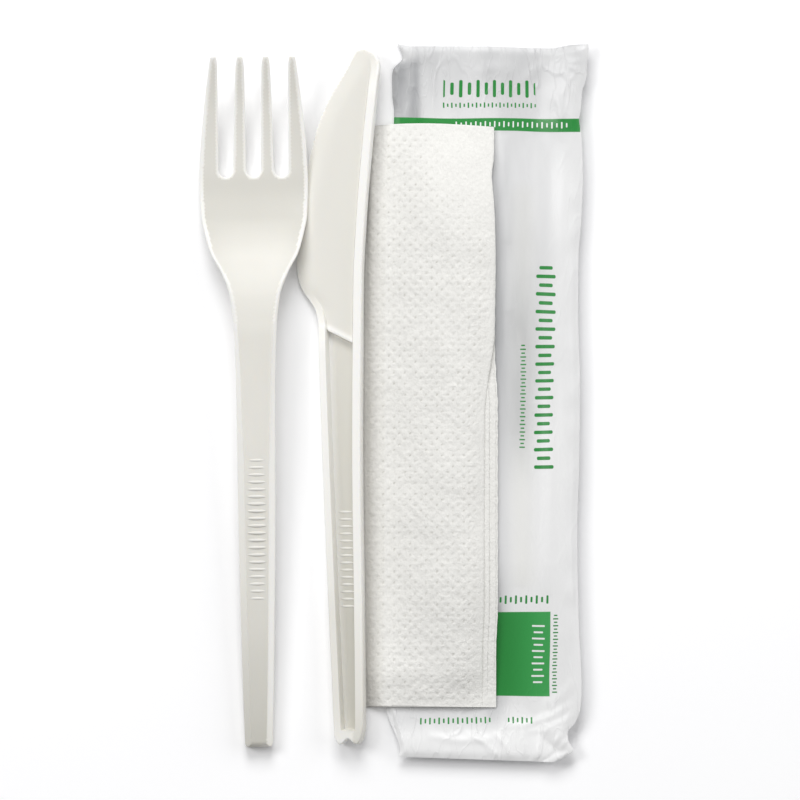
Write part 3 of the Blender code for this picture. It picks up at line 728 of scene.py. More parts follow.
@dataclass(frozen=True)
class PrintedFilm(Finish):
    """Thin glossy film, printed green in plain fields and rows of marks.

    Its print drifts a little, as on loose film. Painted shade darkens it where it folds away from
    the light, with painted shadow beside and below the napkin; painted light brightens the right part
    of its green panel; and the contents show through it as a faint cream patch.
    """

    green: Colour = srgb(45, 141, 64)
    # Green of the panel where painted light brightens it.
    painted_light_green: Colour = srgb(62, 163, 84)
    cream: Colour = srgb(232, 231, 218)
    # Colour of the painted shade and painted shadow on the film.
    shade_grey: Colour = srgb(172, 173, 175)
    print_drift: float = 1.6 * MM
    coat: float = 0.08
    coat_roughness: float = 0.12
    crinkle_height: float = 0.13 * MM
    contents: Patch = Patch((28.5, -44.0), (33.0, 52.0), (2.6, 2.6), 0.22)
    band: Patch = Patch((-1.0, 65.0), (44.4, 68.1), (0.09, 0.09))
    panel: Patch = Patch((10.0, -70.0), (37.4, -49.7), (0.09, 0.09))
    lit_side: Patch = Patch((31.0, -80.0), (50.0, -40.0), (6.0, 6.0))
    lower_seal: Patch = Patch((-9.0, -95.0), (60.0, -70.0), (6.0, 6.0))
    upper_seal: Patch = Patch((-9.0, 70.0), (60.0, 95.0), (6.0, 6.0))
    loose_side: Patch = Patch((40.0, -95.0), (60.0, 95.0), (7.0, 7.0), 0.45)
    # Painted shade where the film folds away from the light, and painted shadow beside and below the
    # napkin.
    shades: tuple[Patch, ...] = (
        Patch((-1.0, 66.5), (6.2, 82.0), (1.1, 1.5), 0.92),
        Patch((-4.0, 62.0), (43.0, 90.0), (9.0, 9.0), 0.32),
        Patch((4.0, 76.0), (60.0, 90.0), (7.0, 7.0), 0.20),
        Patch((20.0, -72.0), (26.6, 60.0), (3.0, 8.0), 0.64),
        Patch((18.0, -2.0), (38.0, 66.0), (5.0, 12.0), 0.26),
        Patch((20.0, -14.0), (34.2, 25.0), (3.4, 11.0), 0.42),
        Patch((-6.0, -77.5), (26.5, -68.0), (3.0, 2.4), 0.30),
    )
    rows: tuple[PrintRow, ...] = (
        PrintRow((22.9, 75.3), 22.0, 2.0, (0.8, 4.2), 0.35, 0.6, Run.SIDEWAYS),
        PrintRow((22.9, 71.3), 22.2, 0.95, (0.36, 1.3), 0.12, 0.25, Run.SIDEWAYS),
        PrintRow((28.0, 66.6), 27.0, 1.15, (0.34, 1.5), 0.12, 0.25, Run.SIDEWAYS, True),
        PrintRow((36.1, 8.4), 48.6, 2.05, (0.85, 4.6), 0.35, 0.7),
        PrintRow((30.9, 1.7), 25.0, 0.9, (0.34, 1.4), 0.12, 0.25),
        PrintRow((31.0, -46.8), 13.0, 1.25, (0.5, 2.0), 0.2, 0.35, Run.SIDEWAYS),
        PrintRow((34.6, -59.8), 15.6, 1.5, (0.42, 3.0), 0.15, 0.4, Run.ALONG, True),
        PrintRow((38.6, -59.8), 19.6, 0.8, (0.32, 1.2), 0.1, 0.2),
        PrintRow((14.6, -75.9), 17.0, 1.1, (0.4, 1.6), 0.15, 0.25, Run.SIDEWAYS),
        PrintRow((30.3, -75.9), 7.0, 1.1, (0.4, 1.6), 0.15, 0.25, Run.SIDEWAYS),
    )

    def tinted(self, graph: Graph, effects: Effects, flat: Socket, place: Socket) -> Socket:
        """Colour of the unprinted film, with its drift, its contents and its shades."""
        drift = {"Scale": 40.0, "Amount": 0.07, "Stretch": (2.6, 0.5, 1.0)}
        colour = self.toned(graph, effects.mottle, self.colour, drift)
        seen = graph.times(self.contents.mask(graph, place), self.contents.share)
        colour = graph.mix(seen, colour, self.cream)
        streaks = graph.noise(graph.vector_math("MULTIPLY", flat, (1.0, 0.16, 1.0)), 210.0, 2.0)
        streaks = graph.plus(graph.times(graph.step(streaks, 0.32, 0.68), 0.4), 0.75)
        # Painted shade and painted shadow, in soft streaks.
        for shade in self.shades:
            dark = graph.times(shade.mask(graph, place), streaks)
            colour = graph.mix(graph.times(dark, shade.share), colour, self.shade_grey)
        return colour

    def printed(
        self, graph: Graph, effects: Effects, flat: Socket, place: Socket, colour: Socket
    ) -> Socket:
        """Colour of the film with its green fields and its rows of marks."""
        colour = graph.mix(self.band.mask(graph, place), colour, self.green)
        # Painted light brightens the right part of the green panel.
        lit = graph.mix(self.lit_side.mask(graph, flat), self.green, self.painted_light_green)
        colour = graph.mix(self.panel.mask(graph, place), colour, lit)
        level = graph.vector_math("MULTIPLY", place, (1.0, 1.0, 0.0))
        for row in self.rows:
            marks = graph.add("ShaderNodeGroup", {"Place": level}, node_tree=effects.marks)
            self.give(marks, row.sockets())
            colour = graph.mix(marks.outputs["Mask"], colour, self.colour if row.white else self.green)
        return colour

    def relief(self, graph: Graph, effects: Effects, flat: Socket) -> Socket:
        """Height of the film's grain, and of its crinkles, which are stronger where it is loose."""
        film = {"Scale": 300.0, "Fineness": 3.0, "Stretch": (1.0, 0.5, 1.0)}
        film = graph.times(self.placed(graph, effects.grain, film), 0.14)
        ends = graph.plus(self.lower_seal.mask(graph, flat), self.upper_seal.mask(graph, flat))
        side = graph.times(self.loose_side.mask(graph, flat), self.loose_side.share)
        loose = graph.plus(graph.math("MAXIMUM", ends, side), 0.12)
        crinkles = self.placed(graph, effects.crinkles, {"Scale": 120.0, "Stretch": (1.5, 0.45, 1.0)})
        crinkles = graph.times(graph.times(crinkles, loose), 0.7)
        return graph.plus(film, crinkles)

    def build(self, effects: Effects) -> Material:
        """Make the material."""
        material, graph, shader = self.start()
        flat = graph.add("ShaderNodeTexCoord").outputs["Object"]
        wave = graph.add("ShaderNodeTexNoise", {"Vector": flat, "Scale": 38.0, "Detail": 1.0})
        shift = graph.vector_math("SUBTRACT", wave.outputs["Color"], (0.5, 0.5, 0.5))
        shift = graph.vector_math("MULTIPLY", shift, (self.print_drift,) * 3)
        place = graph.vector_math("ADD", flat, shift)
        colour = self.tinted(graph, effects, flat, place)
        colour = self.printed(graph, effects, flat, place, colour)
        graph.put(shader.inputs["Base Color"], colour)
        self.give(shader, {"Coat Weight": self.coat, "Coat Roughness": self.coat_roughness})
        self.bumped(graph, shader, self.relief(graph, effects, flat), self.crinkle_height)
        return material


class Rules:
    """Geometry Nodes trees for what repeats: grip ribs, edge teeth and pressed pins."""

    def __init__(self) -> None:
        """Build each tree once."""
        self.ribs = self.make_ribs()
        self.teeth = self.make_teeth()
        self.pins = self.make_pins()

    def start(self, name: str, inputs: dict[str, tuple[str, object]]) -> tuple[Graph, dict]:
        """New tree with a geometry input, a material input and named sizes.

        Args:
            name: the tree's name.
            inputs: socket type and plain value of each size by its name.

        Returns:
            The tree's graph and its input links by name.
        """
        tree = bpy.data.node_groups.new(name, "GeometryNodeTree")
        for label, kind in (("Geometry", "Geometry"), ("Material", "Material")):
            tree.interface.new_socket(label, in_out="INPUT", socket_type=f"NodeSocket{kind}")
        for label, (kind, value) in inputs.items():
            socket = tree.interface.new_socket(label, in_out="INPUT", socket_type=f"NodeSocket{kind}")
            socket.default_value = value
        tree.interface.new_socket("Geometry", in_out="OUTPUT", socket_type="NodeSocketGeometry")
        given = tree.nodes.new("NodeGroupInput").outputs
        return Graph(tree), {socket.name: socket for socket in given if socket.name}

    def end(self, graph: Graph, shape: Socket, given: dict) -> Tree:
        """Realize the instances, set the material and close the tree."""
        real = graph.add("GeometryNodeRealizeInstances", {0: shape}).outputs[0]
        dressed = graph.add("GeometryNodeSetMaterial", {"Geometry": real, "Material": given["Material"]})
        graph.put(graph.tree.nodes.new("NodeGroupOutput").inputs[0], dressed.outputs[0])
        return graph.tree

    def make_ribs(self) -> Tree:
        """Row of low rounded ribs between two points."""
        graph, given = self.start("grip_ribs", {
            "Count": ("Int", 20), "Start": ("Vector", (0.0, 0.0, 0.0)), "End": ("Vector", (0.0, 0.03, 0.0)),
            "Half Size": ("Vector", (1.6 * MM, 0.3 * MM, 0.2 * MM)),
        })
        sockets = {"Count": given["Count"], "Start Location": given["Start"], "Offset": given["End"]}
        line = graph.add("GeometryNodeMeshLine", sockets, mode="END_POINTS")
        rib = graph.add("GeometryNodeMeshUVSphere", {"Segments": 20, "Rings": 12, "Radius": 1.0})
        sockets = {"Points": line.outputs[0], "Instance": rib.outputs["Mesh"], "Scale": given["Half Size"]}
        rows = graph.add("GeometryNodeInstanceOnPoints", sockets)
        return self.end(graph, rows.outputs[0], given)

    def make_teeth(self) -> Tree:
        """Small teeth cut into an edge, from attributes that say where and how deep."""
        sizes = {"Pitch": ("Float", 1.0 * MM), "Depth": ("Float", 0.2 * MM)}
        graph, given = self.start("edge_teeth", sizes)
        place = graph.add("GeometryNodeInputNamedAttribute", {"Name": "edge_place"}, data_type="FLOAT")
        way = graph.add("GeometryNodeInputNamedAttribute", {"Name": "edge_way"}, data_type="FLOAT_VECTOR")
        turn = graph.math("FRACT", graph.math("DIVIDE", place.outputs[0], given["Pitch"]))
        gap = graph.math("ABSOLUTE", graph.minus(turn, 0.5))
        notch = graph.math("POWER", graph.times(gap, 2.0), 1.5)
        depth = graph.times(notch, given["Depth"])
        offset = graph.vector_math("SCALE", way.outputs[0], Scale=depth)
        sockets = {"Geometry": given["Geometry"], "Offset": offset}
        return self.end(graph, graph.add("GeometryNodeSetPosition", sockets).outputs[0], given)

    def make_pins(self) -> Tree:
        """Staggered pins pressed into a puffed sheet, weighted by an attribute."""
        graph, given = self.start("pressed_pins", {
            "Across": ("Float", 2.56 * MM), "Along": ("Float", 1.32 * MM), "Radius": ("Float", 0.42 * MM),
            "Puff": ("Float", 0.15 * MM),
        })
        puff = graph.add("GeometryNodeInputNamedAttribute", {"Name": "puff"}, data_type="FLOAT")
        place = graph.add("GeometryNodeInputPosition").outputs[0]
        split = graph.add("ShaderNodeSeparateXYZ", {0: place})
        rows = graph.math("DIVIDE", split.outputs[1], given["Along"])
        uneven = graph.noise(place, 330.0, 2.0)
        weight = graph.times(puff.outputs[0], graph.step(uneven, 0.22, 0.62))
        odd = graph.math("FLOORED_MODULO", graph.math("FLOOR", rows), 2.0)
        columns = graph.math("DIVIDE", split.outputs[0], given["Across"])
        columns = graph.plus(columns, graph.times(odd, 0.5))
        gaps = []
        for turns, pitch in ((columns, "Across"), (rows, "Along")):
            cell = graph.minus(graph.math("FRACT", turns), 0.5)
            gaps.append(graph.math("POWER", graph.times(cell, given[pitch]), 2.0))
        gap = graph.math("SQRT", graph.plus(*gaps))
        pressed = graph.times(graph.step(gap, given["Radius"], 0.0), weight)
        dent = graph.times(graph.step(gap, graph.times(given["Radius"], 1.7), 0.0), weight)
        raised = graph.times(graph.minus(weight, dent), given["Puff"])
        offset = graph.add("ShaderNodeCombineXYZ", {2: raised}).outputs[0]
        lifted = graph.add("GeometryNodeSetPosition", {"Geometry": given["Geometry"], "Offset": offset})
        sockets = {"Geometry": lifted.outputs[0], "Name": "pressed"}
        kept = graph.add("GeometryNodeStoreNamedAttribute", sockets, data_type="FLOAT", domain="POINT")
        graph.put(kept.inputs["Value"], pressed)
        return self.end(graph, kept.outputs[0], given)

    def apply(self, piece: Piece, tree: Tree, values: dict) -> None:
        """Run a tree on a piece and keep its result as the piece's plain mesh.

        Args:
            piece: the object that the tree changes.
            tree: one of the trees of this class.
            values: input values by name.
        """
        modifier = piece.modifiers.new(tree.name, "NODES")
        modifier.node_group = tree
        for item in tree.interface.items_tree:
            if item.in_out == "INPUT" and item.name in values:
                modifier[item.identifier] = values[item.name]
        bpy.context.view_layer.update()
        depsgraph = bpy.context.evaluated_depsgraph_get()
        result = bpy.data.meshes.new_from_object(
            piece.evaluated_get(depsgraph), preserve_all_data_layers=True, depsgraph=depsgraph
        )
        stale = piece.data
        piece.modifiers.clear()
        piece.data = result
        bpy.data.meshes.remove(stale)
        piece.data.name = piece.name


def keep_values(piece: Piece, name: str, values: Array) -> None:
    """Store one number or one vector for each corner of a piece."""
    kind, slot = ("FLOAT", "value") if values.ndim == 1 else ("FLOAT_VECTOR", "vector")
    piece.data.attributes.new(name, kind, "POINT").data.foreach_set(slot, values.astype(np.float32).ravel())


def hand_over(piece: Piece, nodes: tuple[str, ...] = ()) -> None:
    """Tell the frame what a finished piece rides on, and hide the frame's parts that it stands for."""
    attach(piece, BODY)
    if nodes:
        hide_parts(*nodes)
    LOG.info("%s: %d corners", piece.name, len(piece.data.vertices))


class Moulded:
    """What the fork and the knife share: how they are built, ribbed and laid in their boxes."""

    def run(self, handle: Knots, head: Knots, v: Array) -> Array:
        """Curve along the piece, given from the handle's end and then from the tip."""
        return flowing(handle + from_tip(head, self.length), v)

    def solid(self, material: Material) -> Piece:
        """Closed solid of the piece, dressed."""
        surfaces = self.top, self.bottom, self.rim
        plan = PlanSolid(self.outline(), *surfaces, self.under_rim, self.pitch, self.tone, self.lines())
        body = plan.build(f"{self.node}_body")
        body.data.materials.append(material)
        return body

    def ribs(self, rules: Rules, material: Material) -> Piece:
        """Row of plain grip ribs on the handle."""
        piece = mesh_object(f"{self.node}_grip_ribs", np.zeros((1, 3)), [])
        start, end = (self.rib_place(v) for v in self.rib_span)
        rules.apply(piece, rules.ribs, {
            "Material": material, "Count": self.rib_count, "Start": start, "End": end,
            "Half Size": self.rib_half,
        })
        return piece

    def lay(self, body: Piece, ribs: Piece, turn: Matrix) -> None:
        """Turn the body with its ribs, seat it in its node's box and hand both over."""
        body.data.transform(turn)
        before = body.data.vertices[0].co.copy()
        seat_in_box(body, self.node)
        shift = body.data.vertices[0].co - before
        ribs.data.transform(Matrix.Translation(shift) @ turn)
        ribs.data.shade_smooth()
        hand_over(body, (self.node,))
        hand_over(ribs)


@dataclass
class Fork(Moulded):
    """Moulded fork: dished head with four tines and a hollow-backed handle.

    Its own frame: u across from the middle line, v along from the handle end.
    """

    node: str = "fork"
    length: float = 165.0 * MM
    yaw: float = math.radians(0.54)
    plate: float = 1.6 * MM
    bowl_rise: float = 1.7 * MM
    bowl_power: float = 3.4
    slot_depth: float = 28.9 * MM
    slot_root: float = 1.6 * MM
    tip_round: float = 0.7 * MM
    end_round: float = 0.8 * MM
    roof: float = 1.4 * MM
    wall: float = 1.3 * MM
    hollow_start: float = 5.0 * MM
    hollow_draft: float = 0.65 * MM
    bevel_drop: float = 0.9 * MM
    # Painted shade on the handle's panel, and painted highlight on its bevels that turns to painted shade
    # near the end of the left one, by distance from the handle's end.
    panel_shade: Knots = levels(
        (0.0, -1.0), (11, -0.74), (21, -0.56), (30, -0.38), (49, -0.26), (73, -0.08), (99, -0.26),
    )
    left_bevel_shading: Knots = levels((0.0, -0.8), (11, -0.55), (30, -0.1), (49, 0.3), (90, 0.8))
    right_bevel_highlight: Knots = levels((0.0, 0.3), (11, 0.8), (30, 1.0), (90, 1.0))
    # Painted shade over the head, deepest in the bowl, by distance from the tips.
    head_shade: Knots = levels(
        (0.0, -0.22), (26, -0.24), (31, -0.42), (41, -0.5), (44, -0.36), (48, -0.2),
    )
    tip_bluntness: float = 0.6
    arc_points: int = 15
    corner_points: int = 5
    panel_sink: float = 0.22 * MM
    sink_start: float = 20.0 * MM
    bead: float = 0.10 * MM
    bead_width: float = 0.5 * MM
    bead_lines: tuple[float, ...] = (-0.36, -0.2, -0.08, 0.0, 0.1, 0.24, 0.42)
    bead_step: float = 0.8 * MM
    hollow_step: float = 1.2 * MM
    wide_rim: Point = (-8.0 * MM, 26.0 * MM)
    # How far the painted highlight on the rims reaches, in rim radii.
    rim_highlight: Point = (0.7, 1.8)
    bevel_edge: Point = (-0.1 * MM, 0.15 * MM)
    end_depth: float = 4.2 * MM
    neck_depth: float = 2.4 * MM
    dish_full: float = 36.0 * MM
    tines_start: float = 25.0 * MM
    plate_start: float = 50.0 * MM
    handle_end: float = 64.0 * MM
    hollow_end: float = 68.0 * MM
    tine_flattening: float = 0.55
    rim_head: float = 0.85 * MM
    rim_reach: float = 1.05
    rim_slot: float = 0.32 * MM
    rim_handle: float = 0.30 * MM
    under_rim: float = 0.30 * MM
    pitch: float = 0.50 * MM
    outline_step: float = 0.40 * MM
    bevel_width: Knots = lengths((0.0, 1.5), (60, 1.6), (85, 1.15), (101, 0.9))
    handle_side: Knots = lengths((0.0, 3.3), (14, 3.7), (53, 4.4), (88, 4.7))
    head_side: Knots = lengths(
        (0.0, 10.2), (13.0, 11.8), (23.0, 12.7), (30.5, 13.0), (38.0, 12.7), (43.0, 11.7), (47.0, 10.5),
        (51.7, 8.0), (57.3, 6.0), (64.0, 5.2),
    )
    handle_heights: Knots = lengths((0.0, 4.2), (47.0, 6.6))
    head_heights: Knots = lengths(
        (0.0, 10.0), (13.0, 5.2), (26.0, 2.5), (33.5, 1.7), (38.5, 2.1), (44.0, 3.6), (50.0, 5.9),
        (54.0, 7.4), (58.0, 8.55), (62.0, 9.25), (67.0, 9.7),
    )
    slot_middle: Knots = lengths((0.0, 2.35), (3.0, 2.05), (28.9, 1.8))
    slot_inner: Knots = lengths((0.0, 3.85), (3.0, 4.15), (28.9, 4.9))
    slot_outer: Knots = lengths((0.0, 8.65), (3.0, 8.45), (28.9, 8.4))
    rib_span: Point = (35.5 * MM, 68.5 * MM)
    rib_count: int = 20
    rib_half: tuple[float, float, float] = (2.2 * MM, 0.32 * MM, 0.15 * MM)

    def half(self, v: Array) -> Array:
        """Half width along the fork."""
        return self.run(self.handle_side, self.head_side, v)

    def middle_top(self, v: Array) -> Array:
        """Height of the top surface on the middle line."""
        return self.run(self.handle_heights, self.head_heights, v)

    def handle_share(self, v: Array) -> Array:
        """1 on the handle, 0 on the head."""
        return ease(self.plate_start, self.handle_end, self.length - v)

    def top(self, u: Array, v: Array) -> Array:
        """Dished head that runs into a handle with a shallow panel between two bevels."""
        half, tips = self.half(v), self.length - v
        dish = self.bowl_rise * np.clip(np.abs(u) / half, 0.0, 1.0) ** self.bowl_power
        dish *= 1.0 - ease(self.dish_full, self.handle_end, tips)
        dish *= 1.0 - self.tine_flattening * (1.0 - ease(0.0, self.tines_start, tips))
        width = flowing(self.bevel_width, v)
        panel = half - width
        slope = np.clip((np.abs(u) - panel) / width, 0.0, 1.0)
        sides = self.bevel_drop * slope - self.bead * hump(np.abs(u) - panel, self.bead_width)
        middle = 1.0 - np.clip(np.abs(u) / panel, 0.0, 1.0) ** 2
        sink = self.panel_sink * middle * ease(0.0, self.sink_start, v)
        return self.middle_top(v) + dish - self.handle_share(v) * (sides + sink)

    def hollow(self, u: Array, v: Array) -> Array:
        """1 inside the hollow under the handle, 0 outside it."""
        end = self.length - self.hollow_end
        room = np.minimum(self.half(v) - self.wall - np.abs(u), np.minimum(v - self.hollow_start, end - v))
        return np.clip(room / self.hollow_draft, 0.0, 1.0)

    def bottom(self, u: Array, v: Array) -> Array:
        """Even plate under the head, side walls and a hollow under the handle."""
        top, handle = self.top(u, v), self.handle_share(v)
        deep = 1.0 - ease(0.0, self.length - self.handle_end, v)
        depth = self.neck_depth + (self.end_depth - self.neck_depth) * deep
        base = self.middle_top(v) - depth
        base = base + (top - self.roof - base) * self.hollow(u, v)
        return base * handle + (top - self.plate) * (1.0 - handle)

    def rim(self, u: Array, v: Array) -> Array:
        """Radius of the upper rim: wide round the head, small in the slots and on the handle."""
        tips = self.length - v
        outer = np.abs(u) > self.half(v) - self.rim_reach * self.rim_head
        head = (1.0 - self.handle_share(v)) * ease(*self.wide_rim, tips)
        wide = self.rim_handle + (self.rim_head - self.rim_handle) * head
        small = self.rim_slot + (self.rim_handle - self.rim_slot) * self.handle_share(v)
        return np.where(outer, wide, small)

    def tone(self, u: Array, v: Array, gaps: Array) -> Array:
        """Painted highlights on the rims, and painted shade on the handle's panel that deepens towards its
        end, between bevels with painted highlight, the left one turning to painted shade near the end;
        painted shade over the head.
        """
        rims = 1.0 - ease(*self.rim_highlight, gaps / self.rim(u, v))
        handle = self.handle_share(v)
        past_panel = np.abs(u) - self.half(v) + flowing(self.bevel_width, v)
        beside = ease(*self.bevel_edge, past_panel)
        bevels = [flowing(knots, v) for knots in (self.left_bevel_shading, self.right_bevel_highlight)]
        bevels = np.where(u < 0.0, *bevels)
        panel = flowing(self.panel_shade, v)
        head = flowing(self.head_shade, self.length - v)
        head = head + (1.0 - head) * rims
        return (panel + (bevels - panel) * beside) * handle + head * (1.0 - handle)

    def arc(self, low: float, high: float, level: float, rise: float, blunt: float = 1.0) -> Array:
        """Half ellipse from its high-u end to its low-u end, squarer where blunt is below 1."""
        turn = np.linspace(0.0, math.pi, self.arc_points)
        middle, reach = 0.5 * (low + high), 0.5 * (high - low)
        across, up = np.cos(turn), np.clip(np.sin(turn), 0.0, 1.0)
        return paired(middle + reach * np.sign(across) * np.abs(across) ** blunt, level + rise * up**blunt)

    def outline(self) -> Array:
        """Plan from the right end corner round the tines to the left end corner."""
        corner = self.end_round
        tip_level, root_level = self.length - self.tip_round, self.length - self.slot_depth
        side = along(corner, tip_level, self.outline_step)[1:-1]
        cut = along(tip_level, root_level + self.slot_root, self.outline_step)[1:]
        slots = (self.slot_middle, self.slot_inner, self.slot_outer)
        edges = [from_tip(knots, self.length) for knots in slots]
        tips = [float(flowing(edge, np.array(self.length))) for edge in edges]
        roots = [float(flowing(edge, np.array(root_level))) for edge in edges]
        reach = 0.5 * (roots[2] - roots[1])

        turn = np.linspace(-0.5 * math.pi, 0.0, self.corner_points)
        end_half = at(self.half, 0.0)
        end_corner = paired(end_half - corner + corner * np.cos(turn), corner + corner * np.sin(turn))
        tip_half = at(self.half, self.length)
        right = np.concatenate((
            end_corner,
            paired(self.half(side), side),
            self.arc(tips[2], tip_half, tip_level, self.tip_round, self.tip_bluntness),
            paired(flowing(edges[2], cut), cut),
            self.arc(roots[1], roots[2], root_level + reach, -reach)[1:-1],
            paired(flowing(edges[1], cut[::-1]), cut[::-1]),
            self.arc(tips[0], tips[1], tip_level, self.tip_round, self.tip_bluntness),
            paired(flowing(edges[0], cut), cut),
        ))
        root = self.arc(-roots[0], roots[0], root_level + roots[0], -roots[0])[1:-1]
        left = right[::-1] * np.array((-1.0, 1.0))
        return np.concatenate((right, root, left))

    def lines(self) -> list[Array]:
        """Beads beside the panel and the edges of the hollow."""
        lines = []
        rail = along(0.5 * self.hollow_start, self.length - self.handle_end, self.bead_step)
        for side in (-1.0, 1.0):
            for off in self.bead_lines:
                inner = self.half(rail) - flowing(self.bevel_width, rail) + off * MM
                lines.append(paired(side * inner, rail))
        for draft in (0.0, self.hollow_draft):
            rail = along(self.hollow_start + draft, self.length - self.hollow_end - draft, self.hollow_step)
            sides = self.half(rail) - self.wall - draft
            far = paired(along(sides[-1], -sides[-1], self.pitch)[1:-1], rail[-1])
            near = paired(along(-sides[0], sides[0], self.pitch)[1:-1], rail[0])
            loop = np.concatenate((paired(sides, rail), far, paired(-sides[::-1], rail[::-1]), near))
            lines.append(np.concatenate((loop, loop[:1])))
        return lines

    def rib_place(self, v: float) -> Vector:
        """Where a rib stands: on the middle of the handle's panel."""
        return Vector((0.0, v, float(self.top(np.array(0.0), np.array(v)))))

    def build(self, rules: Rules, material: Material) -> None:
        """Make the fork and its ribs and lay them where the frame has the fork."""
        self.lay(self.solid(material), self.ribs(rules, material), Matrix.Rotation(self.yaw, 4, "Z"))


@dataclass
class Knife(Moulded):
    """Moulded knife: toothed blade with a rib along its back and an open-topped handle channel.

    Its own frame: u across from the line of its back, v along from the butt.
    """

    node: str = "knife"
    length: float = 166.3 * MM
    roll: float = math.radians(10.55)
    wall_top: float = 4.5 * MM
    floor: float = 1.2 * MM
    wall_left: float = 2.1 * MM
    rib: float = 1.9 * MM
    draft: float = 0.45 * MM
    channel_start: float = 3.7 * MM
    ledge_left: float = 98.9 * MM
    ledge_slope: float = 0.49
    plate: float = 1.6 * MM
    plate_bottom: float = 1.4 * MM
    cutting_edge: float = 0.6 * MM
    bevel: float = 5.0 * MM
    bevel_share: float = 0.6
    rib_top: float = 4.4 * MM
    rib_bottom: float = 0.8 * MM
    # Painted highlight on the wall tops, painted highlight on the rib that turns to painted shade at the
    # butt, and painted shade in the channel, by distance from the butt.
    wall_highlight: Knots = levels(
        (0.0, 0.7), (5, 0.25), (11, 0.05), (30, 0.0), (40, 0.4), (49, 0.6), (68, 0.8), (97, 1.0),
    )
    rib_shading: Knots = levels(
        (0.0, -0.4), (11, 0.0), (20, 0.2), (30, 0.45), (40, 0.7), (68, 0.9), (97, 1.0),
    )
    channel_shade: Knots = levels(
        (0.0, -1.0), (30, -1.0), (39, -0.9), (58, -0.72), (82, -0.54), (97, -0.42),
    )
    # Painted light along the foot of the left wall, and a slight painted shade on the blade.
    foot_highlight: float = 1.5
    foot_width: float = 2.1 * MM
    blade_shade: float = -0.12
    ledge_line: float = 1.3 * MM
    ledge_bead: float = 0.28 * MM
    bead_share: float = 0.35
    notch: float = 1.3 * MM
    butt_round: float = 1.9 * MM
    blade_start: float = 67.0 * MM
    neck_below: float = 6.0 * MM
    neck_above: float = 9.0 * MM
    rib_fade: float = 12.0 * MM
    rib_end: float = 1.0 * MM
    tip_round: float = 1.2 * MM
    rim_radius: float = 0.30 * MM
    back_rim: float = 0.42 * MM
    back_reach: Point = (2.5 * MM, 1.5 * MM)
    edge_reach: Point = (6.0 * MM, 3.0 * MM)
    # How far the painted highlight on the rims reaches, in rim radii.
    rim_highlight: Point = (0.4, 1.6)
    wall_lines: tuple[float, ...] = (0.0, 0.22, 0.5, 0.78, 1.0)
    wall_step: float = 0.6 * MM
    ledge_points: int = 10
    ledge_gap: float = 0.1 * MM
    bevel_step: float = 0.8 * MM
    rail_step: float = 0.2 * MM
    notch_half: float = 0.3
    butt_points: int = 33
    tip_points: int = 13
    tip_bluntness: float = 0.8
    teeth_reach: float = 1.1 * MM
    teeth_fade: Point = (6.0 * MM, 1.0 * MM)
    edge_rim: float = 0.22 * MM
    under_rim: float = 0.20 * MM
    pitch: float = 0.50 * MM
    outline_step: float = 0.40 * MM
    teeth_span: Point = (3.5 * MM, 27.0 * MM)
    teeth_step: float = 0.14 * MM
    teeth_pitch: float = 1.05 * MM
    teeth_depth: float = 0.30 * MM
    handle_edge: Knots = lengths((1.9, -6.6), (16.7, -7.3), (63.0, -9.3), (90.0, -10.3))
    blade_edge: Knots = lengths(
        (0.8, -1.7), (5.6, -4.4), (12.3, -8.4), (19.5, -11.4), (25.8, -12.9), (32.3, -14.3),
        (39.3, -15.6), (46.3, -16.2), (52.3, -16.1), (56.1, -15.5), (58.4, -14.4), (60.5, -12.8),
        (62.9, -11.4), (67.0, -10.6),
    )
    handle_back: Knots = lengths((1.9, 0.0), (4.5, 0.4), (28.9, 0.2), (70.4, -0.3))
    blade_back: Knots = lengths(
        (1.4, 3.0), (3.3, 4.0), (4.6, 4.1), (8.0, 3.8), (22.0, 2.3), (39.8, 0.8), (56.0, 0.0),
    )
    rib_span: Point = (33.0 * MM, 55.5 * MM)
    rib_count: int = 14
    rib_half: tuple[float, float, float] = (1.7 * MM, 0.30 * MM, 0.14 * MM)

    def edge(self, v: Array) -> Array:
        """Place across of the cutting side."""
        return self.run(self.handle_edge, self.blade_edge, v)

    def back(self, v: Array) -> Array:
        """Place across of the back."""
        return self.run(self.handle_back, self.blade_back, v)

    def drafted(self, height: Array) -> Array:
        """Share of a rounded wall at a distance up its slope."""
        return ease(0.0, self.draft, height)

    def ledge(self, u: Array) -> Array:
        """Place along where the blade's plate ends in a slanting ledge."""
        start = at(self.edge, self.ledge_left) + self.wall_left
        return self.ledge_left - self.ledge_slope * (u - start)

    def bead(self, u: Array, v: Array) -> Array:
        """1 on the bead along the top of the ledge, 0 beside it."""
        return hump(v - self.ledge(u) - self.bead_share * self.ledge_line, self.ledge_line)

    def blade_share(self, v: Array) -> Array:
        """0 on the handle, 1 on the blade."""
        start = self.length - self.blade_start
        return ease(start - self.neck_below, start + self.neck_above, v)

    def tip_share(self, v: Array) -> Array:
        """0 along the knife, 1 at its tip, where the rib has run out."""
        return ease(self.length - self.rib_fade, self.length - self.rib_end, v)

    def rib_share(self, u: Array, v: Array) -> Array:
        """1 on the rib along the back, 0 beside it."""
        return self.drafted(u - self.back(v) + self.rib + self.draft)

